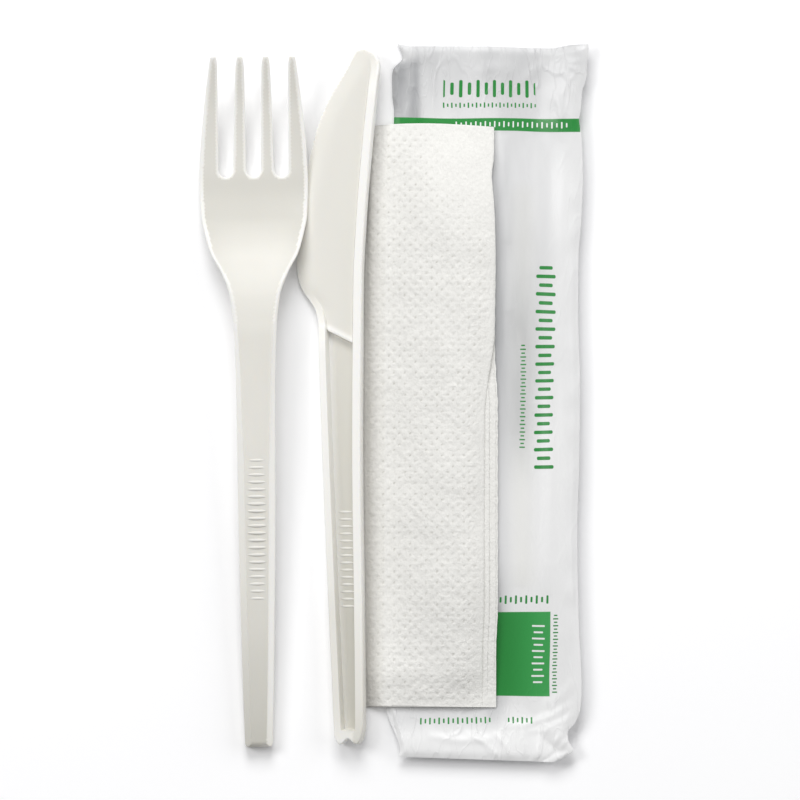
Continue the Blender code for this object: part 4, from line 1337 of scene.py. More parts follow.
    def top(self, u: Array, v: Array) -> Array:
        """Channelled handle, flat blade and a rib along the back."""
        blade = self.blade_share(v)
        off = u - self.edge(v)
        thin = 1.0 - ease(-self.bevel_share * self.bevel, self.bevel, off)
        thickness = self.plate - (self.plate - self.cutting_edge) * thin * blade
        plate = self.plate_bottom + thickness
        level = self.floor + (plate - self.floor) * self.drafted(v - self.ledge(u) + self.draft)
        level = level + self.ledge_bead * self.bead(u, v)
        wall_top = self.wall_top + (plate - self.wall_top) * blade
        rib_top = self.wall_top + (self.rib_top - self.wall_top) * blade
        rib_top += (plate - rib_top) * self.tip_share(v)
        walls = (
            level + (wall_top - level) * self.drafted(self.wall_left - off),
            level + (self.wall_top - level) * self.drafted(self.channel_start - v),
            level + (rib_top - level) * self.rib_share(u, v),
        )
        return np.maximum(level, np.maximum(walls[0], np.maximum(walls[1], walls[2])))

    def bottom(self, u: Array, v: Array) -> Array:
        """Flat under the handle, lifted under the blade."""
        rib = self.rib_share(u, v) * (1.0 - self.tip_share(v))
        under = self.plate_bottom + (self.rib_bottom - self.plate_bottom) * rib
        return under * self.blade_share(v)

    def rim(self, u: Array, v: Array) -> Array:
        """Radius of the upper rim, smaller along the cutting edge."""
        thin = self.blade_share(v) * ease(*self.edge_reach, u - self.edge(v))
        full = ease(*self.back_reach, self.back(v) - u)
        sharp, round_back = self.edge_rim - self.rim_radius, self.back_rim - self.rim_radius
        return self.rim_radius + sharp * thin + round_back * full

    def tone(self, u: Array, v: Array, gaps: Array) -> Array:
        """Painted highlights on the rims, wall tops, rib and ledge, which fade towards the butt, where the
        rib turns to painted shade, over painted shade in the channel.

        Painted light lightens the channel along the foot of its left wall, against that wall's shadow.
        """
        blade = self.blade_share(v)
        rims = 1.0 - ease(*self.rim_highlight, gaps / self.rim(u, v))
        rims *= np.maximum(blade, flowing(self.wall_highlight, v))
        left = self.drafted(self.wall_left - u + self.edge(v)) * (1.0 - blade)
        walls = np.maximum(left, self.drafted(self.channel_start - v))
        rib = self.rib_share(u, v) * (1.0 - self.tip_share(v))
        plate = self.drafted(v - self.ledge(u) + self.draft)
        beside_wall = hump(u - self.edge(v) - self.wall_left, self.foot_width)
        floor = np.minimum(flowing(self.channel_shade, v) + self.foot_highlight * beside_wall, 1.0)
        floor = floor + (self.blade_shade - floor) * plate
        # Painted highlight on the bead along the top of the ledge.
        floor = floor + (1.0 - floor) * self.bead(u, v)
        tone = floor + (flowing(self.wall_highlight, v) - floor) * walls
        tone = tone + (flowing(self.rib_shading, v) - tone) * rib
        return np.where(rib > 0.5, tone, tone + (1.0 - tone) * rims)

    def butt(self) -> Array:
        """Butt end with two round lobes and a notch between them."""
        left, right = at(self.edge, 0.0), at(self.back, 0.0)
        t = np.linspace(0.0, 1.0, self.butt_points)[1:-1]
        off = np.abs(t - 0.5)
        dip = self.notch * np.cos(0.5 * math.pi * np.minimum(off / self.notch_half, 1.0)) ** 2
        rounded = self.butt_round * (np.maximum(off - self.notch_half, 0.0) / (0.5 - self.notch_half)) ** 2
        return paired(left + (right - left) * t, dip + rounded)

    def outline(self) -> Array:
        """Plan, counter-clockwise from the butt."""
        back_end, edge_end = self.blade_back[0][0], self.blade_edge[0][0]
        back = along(self.butt_round, self.length - back_end, self.outline_step)
        teeth = [self.length - place for place in self.teeth_span]
        edge = np.concatenate((
            along(self.length - edge_end, teeth[0], self.outline_step)[:-1],
            along(teeth[0], teeth[1], self.teeth_step)[:-1],
            along(teeth[1], self.butt_round, self.outline_step),
        ))
        high, low = at(self.back, self.length - back_end), at(self.edge, self.length - edge_end)
        turn = np.linspace(0.0, 1.0, self.tip_points)[1:-1]
        level = self.length - back_end + (back_end - edge_end) * turn
        level = level + edge_end * np.sin(math.pi * turn) ** self.tip_bluntness
        level = np.minimum(level, self.length)
        tip = paired(high + (low - high) * turn, level)
        sides = paired(self.back(back), back), tip, paired(self.edge(edge), edge)
        return np.concatenate((self.butt(), *sides))

    def lines(self) -> list[Array]:
        """Feet and tops of the walls, the ledge, the rib and the cutting bevel."""
        neck_end = self.length - self.blade_start + self.neck_above
        ledge_start = at(self.edge, self.ledge_left) + self.wall_left
        across = at(self.back, self.ledge_left) - self.rib - ledge_start
        ledge_right = self.ledge_left - self.ledge_slope * across
        ledge_end = at(self.back, ledge_right) - self.rib - self.draft
        lines = []
        for share in self.wall_lines:
            foot = share * self.draft
            start = self.channel_start - self.draft + foot
            rail = along(start, neck_end, self.wall_step)
            left = paired(self.edge(rail) + self.wall_left - self.draft + foot, rail)
            rail = along(start, self.length - 3.0 * self.rib_end, self.wall_step)
            right = paired(self.back(rail) - self.rib - foot, rail)
            lines += [left, right, np.stack((left[0], right[0]))]
            u = np.linspace(ledge_start + self.ledge_gap, ledge_end - self.ledge_gap, self.ledge_points)
            lines.append(paired(u, self.ledge(u) - self.draft + foot))
        rail = along(neck_end + self.bevel, self.length - 2.0 * self.bevel, self.bevel_step)
        lines.append(paired(self.edge(rail) + self.bevel, rail))
        return lines

    def cut_teeth(self, knife: Piece, rules: Rules, material: Material) -> None:
        """Mark the toothed stretch of the edge and cut its teeth."""
        points = np.array([vertex.co for vertex in knife.data.vertices])
        u, v = points[:, 0], points[:, 1]
        start, end = (self.length - place for place in self.teeth_span[::-1])
        rail = along(start, end, self.rail_step)
        place = np.interp(v, rail, walked_along(paired(self.edge(rail), rail)))
        slant = np.interp(v, rail, np.gradient(self.edge(rail), rail))
        way = np.column_stack((np.ones_like(slant), -slant, np.zeros_like(slant)))
        way /= np.linalg.norm(way, axis=1)[:, None]
        off = (u - self.edge(v)) * way[:, 0]
        share = 1.0 - np.clip(off / self.teeth_reach, 0.0, 1.0)
        share *= ease(start, start + self.teeth_fade[0], v) * ease(end, end - self.teeth_fade[1], v)
        keep_values(knife, "edge_place", place)
        keep_values(knife, "edge_way", way * share[:, None])
        rules.apply(knife, rules.teeth, {
            "Material": material, "Pitch": self.teeth_pitch, "Depth": self.teeth_depth,
        })
        for name in ("edge_place", "edge_way"):
            knife.data.attributes.remove(knife.data.attributes[name])

    def rib_place(self, v: float) -> Vector:
        """Where a rib stands: on the middle of the channel's floor."""
        middle = 0.5 * (at(self.edge, v) + self.wall_left + at(self.back, v) - self.rib)
        return Vector((middle, v, self.floor))

    def build(self, rules: Rules, material: Material) -> None:
        """Make the knife and its ribs and lay them where the frame has the knife."""
        knife = self.solid(material)
        self.cut_teeth(knife, rules, material)
        self.lay(knife, self.ribs(rules, material), Matrix.Rotation(-self.roll, 4, "Y"))


@dataclass(frozen=True)
class Crease:
    """One soft ridge in the film: its points on the table plan, its width and its height."""

    points: tuple[Point, ...]
    width: float
    height: float

    def lift(self, x: Array, y: Array) -> Array:
        """Height that the ridge adds, fading to nothing at both of its ends."""
        line = np.array(self.points) * MM
        spans = np.diff(line, axis=0)
        sizes = np.linalg.norm(spans, axis=1)
        walked = walked_along(line)
        spots = np.column_stack((x, y))
        nearest = np.full(len(x), np.inf)
        share = np.zeros(len(x))
        for start, span, size, done in zip(line[:-1], spans, sizes, walked):
            t = np.clip((spots - start) @ span / size**2, 0.0, 1.0)
            gap = np.linalg.norm(spots - start - t[:, None] * span, axis=1)
            closer = gap < nearest
            nearest = np.where(closer, gap, nearest)
            share = np.where(closer, (done + t * size) / walked[-1], share)
        fade = np.sin(math.pi * np.clip(share, 0.0, 1.0)) ** 0.6
        return self.height * MM * fade * hump(nearest, self.width * MM)


@dataclass(frozen=True)
class Wave:
    """Low wave in a sheet, in millimetres, whose crests bend with a slower wave across them.

    Fields:
        height: its height.
        length: its length over the plan, as the radius of its turn.
        bend: how far its crests bend, as a turn.
        bend_length: length of the slower wave.
    """

    height: float
    length: float
    bend: float
    bend_length: float

    def lift(self, run: Array, across: Array, more: Array | float = 0.0) -> Array:
        """Height of the wave that runs one way and bends the other way, turned by some more."""
        bend = self.bend * np.sin(across / (self.bend_length * MM))
        return self.height * MM * np.sin(run / (self.length * MM) + bend + more)


@dataclass(frozen=True)
class Swell:
    """Slow rise and fall along one way: its length in millimetres and where it starts."""

    length: float
    start: float

    def share(self, run: Array) -> Array:
        """Value from -1 to 1."""
        return np.sin(run / (self.length * MM) + self.start)


@dataclass(frozen=True)
class Curl:
    """How a loose seal stands up, in millimetres, from its left corner to its right corner."""

    right: float
    left: float
    ripple: float
    turns: float
    reach: float
    right_start: float
    left_end: float = 0.2

    def lift(self, share: Array, from_end: Array) -> Array:
        """Height of the seal, at a share of the pack's width and a distance from its end."""
        height = self.right * ease(self.right_start, 1.0, share)
        height = height + self.left * ease(self.left_end, 0.0, share)
        height = height + self.ripple * np.sin(self.turns * share)
        return MM * ease(self.reach * MM, 0.0, from_end) * height


@dataclass
class FilmPack:
    """Sealed film pack that holds a second set, flat on the table."""

    width: float = 45.6 * MM
    length: float = 171.5 * MM
    thickness: float = 6.6 * MM
    film: float = 0.8 * MM
    edge: float = 0.22 * MM
    seal: float = 10.0 * MM
    shoulder: float = 38.0 * MM
    crown_power: float = 2.2
    loose_rise: float = 0.34
    loose_power: float = 6.0
    slack_span: Point = (0.52, 0.82)
    slant: float = 1.3 * MM
    side_lift: float = 3.0 * MM
    end_lift: float = 2.4 * MM
    end_reach: float = 14.0 * MM
    side_start: float = 0.70
    edge_rise: Point = (-0.4 * MM, 1.8 * MM)
    edge_power: float = 0.6
    wrinkle_rise: Point = (-0.5 * MM, 1.2 * MM)
    least_share: float = 0.6
    cover_side: float = 1.2 * MM
    cover_ends: Point = (1.5 * MM, 1.0 * MM)
    slow: Wave = Wave(0.10, 3.1, 1.7, 19.0)
    slow_swell: Swell = Swell(27.0, 0.8)
    quick: Wave = Wave(0.045, 4.2, 2.0, 9.0)
    quick_swell: Swell = Swell(5.3, 1.1)
    seal_ripple: Wave = Wave(0.05, 1.7, 1.3, 6.0)
    pucker: Wave = Wave(0.10, 1.9, 1.5, 7.3)
    pucker_place: Point = (1.6 * MM, 3.2 * MM)
    upper_curl: Curl = Curl(0.8, 0.5, 0.12, 14.0, 9.0, 0.72)
    lower_curl: Curl = Curl(0.7, 0.25, 0.1, 17.0, 8.0, 0.7)
    pitch: float = 0.48 * MM
    left: Knots = lengths(
        (0.0, 1.9), (1.0, 2.7), (13.0, -0.9), (50.0, 0.0), (111.5, 0.0), (152.0, 1.2), (155.2, 1.2),
        (159.1, 0.8), (163.4, 0.7), (165.3, 1.0), (168.1, 3.2), (171.5, 2.0),
    )
    right: Knots = lengths(
        (0.0, -6.1), (1.3, -3.5), (2.6, -1.5), (5.3, -2.8), (6.9, -3.0), (9.3, -1.2), (12.4, 0.0),
        (16.7, 0.4), (23.6, 0.2), (30.8, -0.2), (55.9, -0.65), (70.0, -0.2), (89.5, 0.0),
        (107.2, -0.45), (120.6, -0.35), (129.2, 0.3), (139.7, 0.7), (150.2, 0.3), (153.1, -0.2),
        (156.6, 0.3), (159.7, 0.5), (164.0, 1.6), (166.7, 1.7), (168.6, 2.1), (171.5, 2.1),
    )
    upper_start: float = 0.6
    upper_edge: Knots = (
        (0.0, 0.0), (0.07, -0.55 * MM), (0.4, -0.55 * MM), (0.8, -1.05 * MM), (0.91, -0.25 * MM),
        (1.0, 0.0),
    )
    creases: tuple[Crease, ...] = (
        Crease(((24.6, -84.3), (21.5, -81.0), (17.0, -78.5)), 1.3, 0.34),
        Crease(((28.0, -84.8), (26.5, -81.5), (24.0, -78.6)), 1.2, 0.32),
        Crease(((31.8, -84.8), (31.0, -81.0), (30.2, -77.0)), 1.2, 0.28),
        Crease(((34.6, -84.8), (34.8, -81.0), (35.2, -77.8)), 1.0, 0.36),
        Crease(((37.2, -84.4), (38.4, -81.2), (40.2, -78.6)), 1.1, 0.28),
        Crease(((39.2, -83.2), (41.0, -80.8), (42.6, -79.4)), 0.9, 0.30),
        Crease(((26.0, -77.3), (32.0, -76.8), (38.0, -74.6), (43.0, -71.4)), 1.8, 0.24),
        Crease(((30.0, -78.8), (36.0, -77.8), (40.5, -76.0), (43.6, -73.4)), 1.5, 0.20),
        Crease(((36.0, -72.6), (40.5, -69.6), (43.2, -66.0)), 2.4, 0.16),
        Crease(((8.0, -79.5), (16.0, -80.6), (24.0, -80.2)), 1.8, 0.26),
        Crease(((41.8, 80.6), (43.4, 79.6), (44.8, 79.2)), 0.9, 0.20),
        Crease(((40.2, 82.2), (42.6, 81.4), (45.2, 82.0)), 0.9, 0.14),
        Crease(((40.4, 73.4), (41.6, 76.6), (43.8, 79.0)), 1.0, 0.16),
        Crease(((38.5, 74.0), (39.8, 70.5), (40.0, 67.5)), 2.2, 0.34),
        Crease(((30.0, 76.0), (33.6, 79.5), (36.4, 82.0)), 2.4, 0.26),
        Crease(((18.0, 78.4), (24.0, 80.2), (30.0, 79.4)), 3.0, 0.24),
        Crease(((26.6, 64.0), (27.4, 52.0), (27.0, 38.0)), 3.2, 0.40),
        Crease(((33.6, 63.0), (35.0, 50.0), (34.6, 30.0)), 4.0, 0.30),
        Crease(((40.4, 62.0), (41.4, 30.0), (41.0, -10.0), (41.6, -60.0)), 3.6, 0.42),
        Crease(((36.6, 8.0), (37.6, -20.0), (37.0, -46.0)), 4.0, 0.28),
        Crease(((29.0, -8.0), (30.4, -24.0), (30.0, -44.0)), 3.6, 0.32),
        Crease(((27.4, 22.0), (31.0, 12.0), (33.6, 0.0)), 3.4, -0.45),
        Crease(((5.6, 67.0), (6.0, 73.0), (5.2, 80.0)), 1.4, 0.40),
        Crease(((1.6, 68.5), (2.6, 72.0), (2.0, 77.5)), 2.0, -0.35),
        Crease(((-1.5, -72.0), (0.2, -78.0), (1.5, -84.5)), 0.8, -0.5),
        Crease(((-0.3, -72.0), (1.3, -78.0), (2.8, -84.5)), 0.9, 0.35),
        Crease(((38.0, 84.0), (42.0, 84.8), (46.4, 85.6)), 0.7, -0.5),
    )
    origin: Point = (0.0, 0.0)

    def __post_init__(self) -> None:
        """Take the place of the pack's lower left corner from the frame."""
        low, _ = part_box("film_pack")
        self.origin = (low.x - min(stray for _, stray in self.left), low.y)

    def side(self, v: Array, share: Array | float) -> Array:
        """Place across, at a share of the way from the left to the right side."""
        left = self.origin[0] + flowing(self.left, v)
        right = self.origin[0] + self.width + flowing(self.right, v)
        return left + (right - left) * share

    def crown(self, x: Array, y: Array) -> Array:
        """Height of the filled pack away from its ends."""
        v = y - self.origin[1]
        left, right = self.side(v, 0.0), self.side(v, 1.0)
        share = (x - left) / (right - left)
        full = np.maximum(0.0, 1.0 - np.abs(2.0 * share - 1.0) ** self.crown_power)
        empty = self.loose_rise * np.maximum(0.0, 1.0 - np.abs(2.0 * share - 1.0) ** self.loose_power)
        slack = ease(*self.slack_span, share)
        return self.film + (self.thickness - self.film) * (full + (empty - full) * slack)

    def filled(self, v: Array) -> Array:
        """0 on the end seals, 1 where the pack is full."""
        return ease(self.seal, self.seal + self.shoulder, np.minimum(v, self.length - v))

    def uncovered(self, x: Array, y: Array) -> Array:
        """0 under the napkin, 1 beside it."""
        low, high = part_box("napkin")
        outside, inside = self.cover_ends
        covered = ease(high.x + self.cover_side, high.x - self.cover_side, x)
        covered = covered * ease(low.y - outside, low.y + inside, y)
        return 1.0 - covered * ease(high.y + outside, high.y - inside, y)

    def wrinkles(self, x: Array, y: Array) -> Array:
        """Soft ridges of the loose film, kept low under the napkin."""
        v = y - self.origin[1]
        left, right = self.side(v, 0.0), self.side(v, 1.0)
        full = self.filled(v)
        middle, reach = self.pucker_place
        near_side = hump(np.minimum(x - left, right - x) - middle, reach)
        lift = sum(crease.lift(x, y) for crease in self.creases)
        lift = lift + self.slow.lift(x, y) * self.slow_swell.share(y)
        lift = lift + self.quick.lift(y, x) * self.quick_swell.share(x)
        lift = lift + self.seal_ripple.lift(x, y) * (1.0 - full)
        lift = lift + self.pucker.lift(y, y) * near_side * full
        return np.minimum(lift, 0.0) + np.maximum(lift, 0.0) * self.uncovered(x, y)

    def curl(self, share: Array, v: Array) -> Array:
        """How far the loose seals and the right side fold stand off the table."""
        seals = self.upper_curl.lift(share, self.length - v) + self.lower_curl.lift(share, v)
        side = self.side_lift * ease(self.side_start, 1.0, share)
        end = self.end_lift * ease(self.end_reach, 0.0, v)
        return np.maximum(np.maximum(0.0, seals), np.maximum(side, end))

    def build(self, material: Material) -> None:
        """Make the pack as a grid over its plan, closed by a flat underside."""
        shares = along(0.0, self.width, self.pitch) / self.width
        share, v = np.meshgrid(shares, along(0.0, self.length, self.pitch))
        done = v / self.length
        x = self.side(v, share)
        y = self.origin[1] + v + self.slant * (1.0 - share) * (1.0 - done)
        y = y + flowing(self.upper_edge, share) * ease(self.upper_start, 1.0, done)
        height = self.film + (self.crown(x, self.origin[1] + v) - self.film) * self.filled(v)
        from_side = np.minimum(share, 1.0 - share) * self.width
        rim = np.minimum(from_side, np.minimum(v, self.length - v))
        height = self.edge + (height - self.edge) * ease(*self.edge_rise, rim) ** self.edge_power
        wrinkles = self.wrinkles(x.ravel(), y.ravel()).reshape(x.shape) * ease(*self.wrinkle_rise, rim)
        under = self.curl(share, v)
        top = np.maximum(height + wrinkles, self.least_share * self.edge) + under
        points = np.concatenate([
            np.column_stack((x.ravel(), y.ravel(), z.ravel())) for z in (top, under)
        ])
        number = np.arange(x.size).reshape(x.shape)
        quads = np.stack((number[:-1, :-1], number[:-1, 1:], number[1:, 1:], number[1:, :-1]), axis=-1)
        faces = quads.reshape(-1, 4).tolist()
        faces += (quads + number.size)[:, :, ::-1].reshape(-1, 4).tolist()
        ring = np.concatenate((number[0, :], number[1:, -1], number[-1, -2::-1], number[-2:0:-1, 0]))
        after = np.roll(ring, -1)
        faces += np.column_stack((ring, ring + number.size, after + number.size, after)).tolist()
        pack = mesh_object("film_pack_body", points, faces)
        pack.data.materials.append(material)
        hand_over(pack, ("film_pack",))


@dataclass
class Napkin:
    """Square paper napkin: one sheet, folded once lengthways and three times across.

    The sheet is one closed thin shell. It is doubled along its upper end, and the doubled sheet
    is then halved three times, which lays eight columns in the stack order below.
    """

    pack: FilmPack
    sheet: float = 280.0 * MM
    layers: int = 16
    thickness: float = 2.4 * MM
    margin: float = 0.9 * MM
    blend: float = 3.0 * MM
    ramp: float = 3.0 * MM
    seat_gap: float = 0.4 * MM
    knife_reach: float = 2.4 * MM
    stack_order: tuple[int, ...] = (0, 7, 4, 3, 2, 5, 6, 1)
    face_column: int = 1
    upper_setback: float = 3.3 * MM
    lower_setback: float = 2.0 * MM
    inner_edge_setback: float = 0.5 * MM
    fine_along: float = 0.33 * MM
    fine_across: float = 0.38 * MM
    along_ratio: int = 6
    across_ratio: int = 8
    sharp: float = 60.0
    column_samples: int = 9
    fold_samples: int = 5
    puff: float = 0.19 * MM
    puff_end: float = 2.0 * MM
    puff_side: Point = (0.2 * MM, 1.8 * MM)
    least_puff: float = 0.15
    top_bulge: float = 1.3 * MM
    side_press: float = 0.76
    low_press: float = 0.58
    high_press: float = 0.20
    press_reach: float = 9.0 * MM
    droop_reach: float = 54.0 * MM
    droop: float = 1.0
    rolls: Wave = Wave(0.15, 4.6, 0.8, 17.0)
    roll_swell: Swell = Swell(13.0, 0.4)
    furrows: Wave = Wave(0.09, 4.4, 1.3, 7.0)
    furrow_bend: Swell = Swell(31.0, 0.0)
    dimples: Wave = Wave(0.07, 3.1, 1.6, 8.3)
    corner_rise: float = 0.35 * MM
    corner_across: Point = (28.0 * MM, 16.0 * MM)
    corner_along: Point = (121.0 * MM, 34.0 * MM)
    crease_depth: float = 0.30 * MM
    crease_width: float = 2.2 * MM
    crease_slope: float = 0.85
    crease_place: Point = (29.5 * MM, 135.0 * MM)
    crease_across: Point = (29.0 * MM, 9.0 * MM)
    top_share: float = 0.7
    skew: float = 0.5 * MM
    skew_reach: float = 12.0 * MM
    side_thin: Point = (0.74, 0.96)
    still_ends: Point = (2.5 * MM, 3.5 * MM)
    surfaces: tuple[float, ...] = (0.88, 0.12, -0.12, -0.88)
    fold_depth: float = 0.9
    smooth_corner: tuple[float, float, float] = (33.0 * MM, 15.0 * MM, 26.0 * MM)
    smooth_fade: Point = (0.55, 1.25)
    scallop: float = 0.07 * MM
    scallop_pitch: float = 1.32 * MM
    right_stray: Knots = lengths(
        (0.0, 0.0), (13.5, 0.0), (24.0, 0.4), (72.5, 0.4), (79.4, 0.0), (86.3, -0.3), (106.4, -0.1),
        (115.5, -0.3), (122.6, -0.8), (126.7, -1.2), (131.2, -0.6), (138.0, -0.6),
    )
    fold_drift: Knots = lengths((0.0, 0.0), (70.0, 0.2), (90.0, 3.25), (138.0, 3.4))

    def __post_init__(self) -> None:
        """Take the folded size and place from the frame."""
        low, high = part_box("napkin")
        self.left, self.low = low.x, low.y
        self.width = high.x - low.x
        self.length = high.y - low.y - self.top_bulge
        self.ply = self.thickness / self.layers

    def path(self) -> tuple[Array, int, int]:
        """Middle line of the doubled sheet through the stack, seen from its lower end.

        Returns:
            One row for each sample, with place across, height in the stack, the direction of
            the sheet's outer side across and up, and how far the sample belongs to the upper
            folds; then the first and last sample of the face column.
        """
        # A fold's outer radius is half of the layers it turns: 16 on the left, 8 and 4 on the right.
        ply = self.ply
        left_centre = 8.0 * ply
        upper_centre = self.width - self.upper_setback - 4.0 * ply
        lower_centre = self.width - self.lower_setback - 2.0 * ply
        right_ends = {
            0: self.width, 1: upper_centre, 2: upper_centre, 3: lower_centre,
            4: lower_centre, 5: upper_centre, 6: upper_centre, 7: self.width - self.inner_edge_setback,
        }
        rows = []
        face = (0, 0)
        for column, level in enumerate(self.stack_order):
            outward = 1.0 if column % 2 else -1.0
            ends = (left_centre, right_ends[column])
            count = self.column_samples
            if column == self.face_column:
                cells = int(round((ends[1] - ends[0]) / self.fine_across / self.across_ratio))
                count = cells * self.across_ratio + 1
                face = (len(rows), len(rows) + count - 1)
            x = np.linspace(*(ends if outward > 0.0 else ends[::-1]), count)
            height = (2 * level + 1) * ply
            upper = 1.0 if level >= 4 else 0.0
            rows += [(place, height, 0.0, outward, upper) for place in x]
            if column == len(self.stack_order) - 1:
                break
            goal = (2 * self.stack_order[column + 1] + 1) * ply
            middle, reach = 0.5 * (height + goal), 0.5 * (height - goal)
            side = outward
            for angle in np.linspace(0.0, math.pi, self.fold_samples + 2)[1:-1]:
                way = np.array((side * abs(reach) * math.cos(angle), -reach * math.sin(angle)))
                way /= np.linalg.norm(way)
                place = x[-1] + side * abs(reach) * math.sin(angle)
                rows.append((place, middle + reach * math.cos(angle), -way[1], way[0], upper))
        return np.array(rows), *face

    def bottom(self, x: Array, y: Array) -> Array:
        """Underside: on the table at the left, then up and over the pack."""
        v = y - self.pack.origin[1]
        beside = self.pack.side(v, 0.0)
        rise = ease(beside - self.ramp, beside - self.seat_gap, x)
        crown = self.pack.crown(np.maximum(x, beside), y)
        ends = np.minimum(y - self.low, self.low + self.length - y)
        sag = self.droop * (1.0 - ease(0.0, self.droop_reach, ends)) * (1.0 - self.pack.filled(v))
        return rise * (crown - sag * (crown - self.pack.film) + self.seat_gap)

    def full(self, x: Array) -> Array:
        """0 on the margin that the knife presses down, 1 on the rest."""
        start = self.left + self.knife_reach + self.seat_gap
        return ease(start, start + self.blend, x)

    def waves(self, x: Array, y: Array) -> Array:
        """Slow unevenness of the whole stack."""
        u, v = x - self.left, y - self.low
        waves = self.rolls.lift(u, v) * self.roll_swell.share(v)
        waves = waves + self.furrows.lift(v, u, 2.0 * self.furrow_bend.share(v))
        waves = waves + self.dimples.lift(u + v, u - v)
        (across, wide), (lengthways, long) = self.corner_across, self.corner_along
        waves = waves + self.corner_rise * hump(v - lengthways, long) * hump(u - across, wide)
        across, lengthways = u - self.crease_place[0], v - self.crease_place[1]
        crease = hump(across + self.crease_slope * lengthways, self.crease_width)
        middle, wide = self.crease_across
        return waves - self.crease_depth * crease * hump(u - middle, wide)

    def laid(self, rows: Array, v: Array, offset: float) -> Array:
        """Corners of one surface of the sheet.

        Args:
            rows: path samples.
            v: places along the napkin.
            offset: distance of the surface from the doubled sheet's middle line.

        Returns:
            An array of samples by places by three.
        """
        across = rows[:, 0] + rows[:, 2] * offset
        stack = (rows[:, 1] + rows[:, 3] * offset) / self.thickness
        share = across / self.width
        reach = np.clip(across / (self.width - self.upper_setback), 0.0, 1.0)
        drift = flowing(self.fold_drift, v)[None, :] * (rows[:, 4] * reach**6)[:, None]
        x = self.left + across[:, None] + flowing(self.right_stray, v)[None, :] * share[:, None] + drift
        scallops = np.sin(2.0 * math.pi * v / self.scallop_pitch)
        x = x + self.scallop * scallops[None, :] * (share**12)[:, None]
        bulge = self.top_bulge * 4.0 * np.clip(share * (1.0 - share), 0.0, 1.0)
        near_top = ease(self.top_share * self.length, self.length, v)
        y = self.low + v[None, :] + bulge[:, None] * near_top[None, :]
        skew = self.skew * stack**2 * (1.0 - share)
        y = y + skew[:, None] * ease(self.skew_reach, 0.0, v)[None, :]
        press = self.margin + (self.thickness - self.margin) * self.full(x)
        press = press * (1.0 - self.side_press * ease(*self.side_thin, share))[:, None]
        flat = self.low_press * ease(self.press_reach, 0.0, v)
        flat = flat + self.high_press * ease(self.length - self.press_reach, self.length, v)
        press = press * (1.0 - flat)[None, :]
        low_end, high_end = self.still_ends
        free = ease(0.0, low_end, v) * ease(self.length, self.length - high_end, v)
        waves = self.waves(x, y) * self.full(x) * free[None, :]
        z = self.bottom(x, y) + stack[:, None] * press + np.clip(stack, 0.0, 1.0)[:, None] * waves
        return np.stack((x, y, z), axis=-1)

    def mesh(self) -> tuple[Array, list, Array]:
        """Corners, faces and puff weights of the whole folded sheet."""
        rows, first, last = self.path()
        cells = int(round(self.length / self.fine_along / self.along_ratio))
        v_fine = np.linspace(0.0, self.length, cells * self.along_ratio + 1)
        v = v_fine[::self.along_ratio]
        face = np.arange(first, last + 1, self.across_ratio)
        coarse = np.concatenate((np.arange(first), face, np.arange(last + 1, len(rows))))
        some = rows[coarse]
        start, end = first, first + len(face) - 1
        points: list[Array] = []

        def numbered(corners: Array) -> Array:
            """Keep a grid of corners and give its numbers back in the same grid."""
            count = sum(len(part) for part in points)
            points.append(corners.reshape(-1, 3))
            return count + np.arange(len(points[-1])).reshape(corners.shape[:-1])

        grids = [numbered(self.laid(some, v, share * self.ply)) for share in self.surfaces]
        outer, inner, inner_back, back = grids
        fine_corners = self.laid(rows[first:last + 1], v_fine, self.surfaces[0] * self.ply)
        fine = numbered(fine_corners)
        outer[start:end + 1] = fine[::self.across_ratio, ::self.along_ratio]
        bend = self.laid(some, v[-1:], 0.0)[:, 0, :]
        bend[:, 1] += self.fold_depth * self.ply
        fold = numbered(bend)

        faces = []

        def add_face(*numbers: int) -> None:
            """Add one face."""
            faces.append([int(number) for number in numbers])

        for grid in grids:
            for i in range(len(some) - 1):
                if grid is outer and start <= i < end:
                    continue
                for j in range(len(v) - 1):
                    left, right = [grid[i + 1, j], grid[i + 1, j + 1]], [grid[i, j + 1], grid[i, j]]
                    cut = slice(j * self.along_ratio, (j + 1) * self.along_ratio + 1)
                    if grid is outer and i + 1 == start:
                        left = fine[0, cut]
                    if grid is outer and i == end:
                        right = fine[-1, cut][::-1]
                    add_face(*left, *right)
        quads = np.stack((fine[:-1, :-1], fine[1:, :-1], fine[1:, 1:], fine[:-1, 1:]), axis=-1)
        faces += quads.reshape(-1, 4).tolist()

        def fine_row(i: int, j: int) -> Array | tuple[int, int]:
            """Numbers along the outer surface's end from sample i to the next."""
            if start <= i < end:
                cut = (i - start) * self.across_ratio
                return fine[cut:cut + self.across_ratio + 1, j]
            return outer[i, j], outer[i + 1, j]

        for i in range(len(some) - 1):
            add_face(*fine_row(i, 0), inner[i + 1, 0], inner[i, 0])
            add_face(inner_back[i, 0], inner_back[i + 1, 0], back[i + 1, 0], back[i, 0])
            add_face(*fine_row(i, -1), fold[i + 1], fold[i])
            add_face(fold[i], fold[i + 1], back[i + 1, -1], back[i, -1])
            add_face(inner[i, -1], inner[i + 1, -1], inner_back[i + 1, -1], inner_back[i, -1])
        for i in (0, len(some) - 1):
            for one, two in ((outer, inner), (inner_back, back)):
                for j in range(len(v) - 1):
                    add_face(one[i, j], one[i, j + 1], two[i, j + 1], two[i, j])
            add_face(outer[i, -1], inner[i, -1], inner_back[i, -1], back[i, -1], fold[i])

        corners = np.concatenate(points)
        weights = np.zeros(len(corners))
        weights[fine.ravel()] = self.puffed(fine_corners, v_fine).ravel()
        return corners, faces, weights

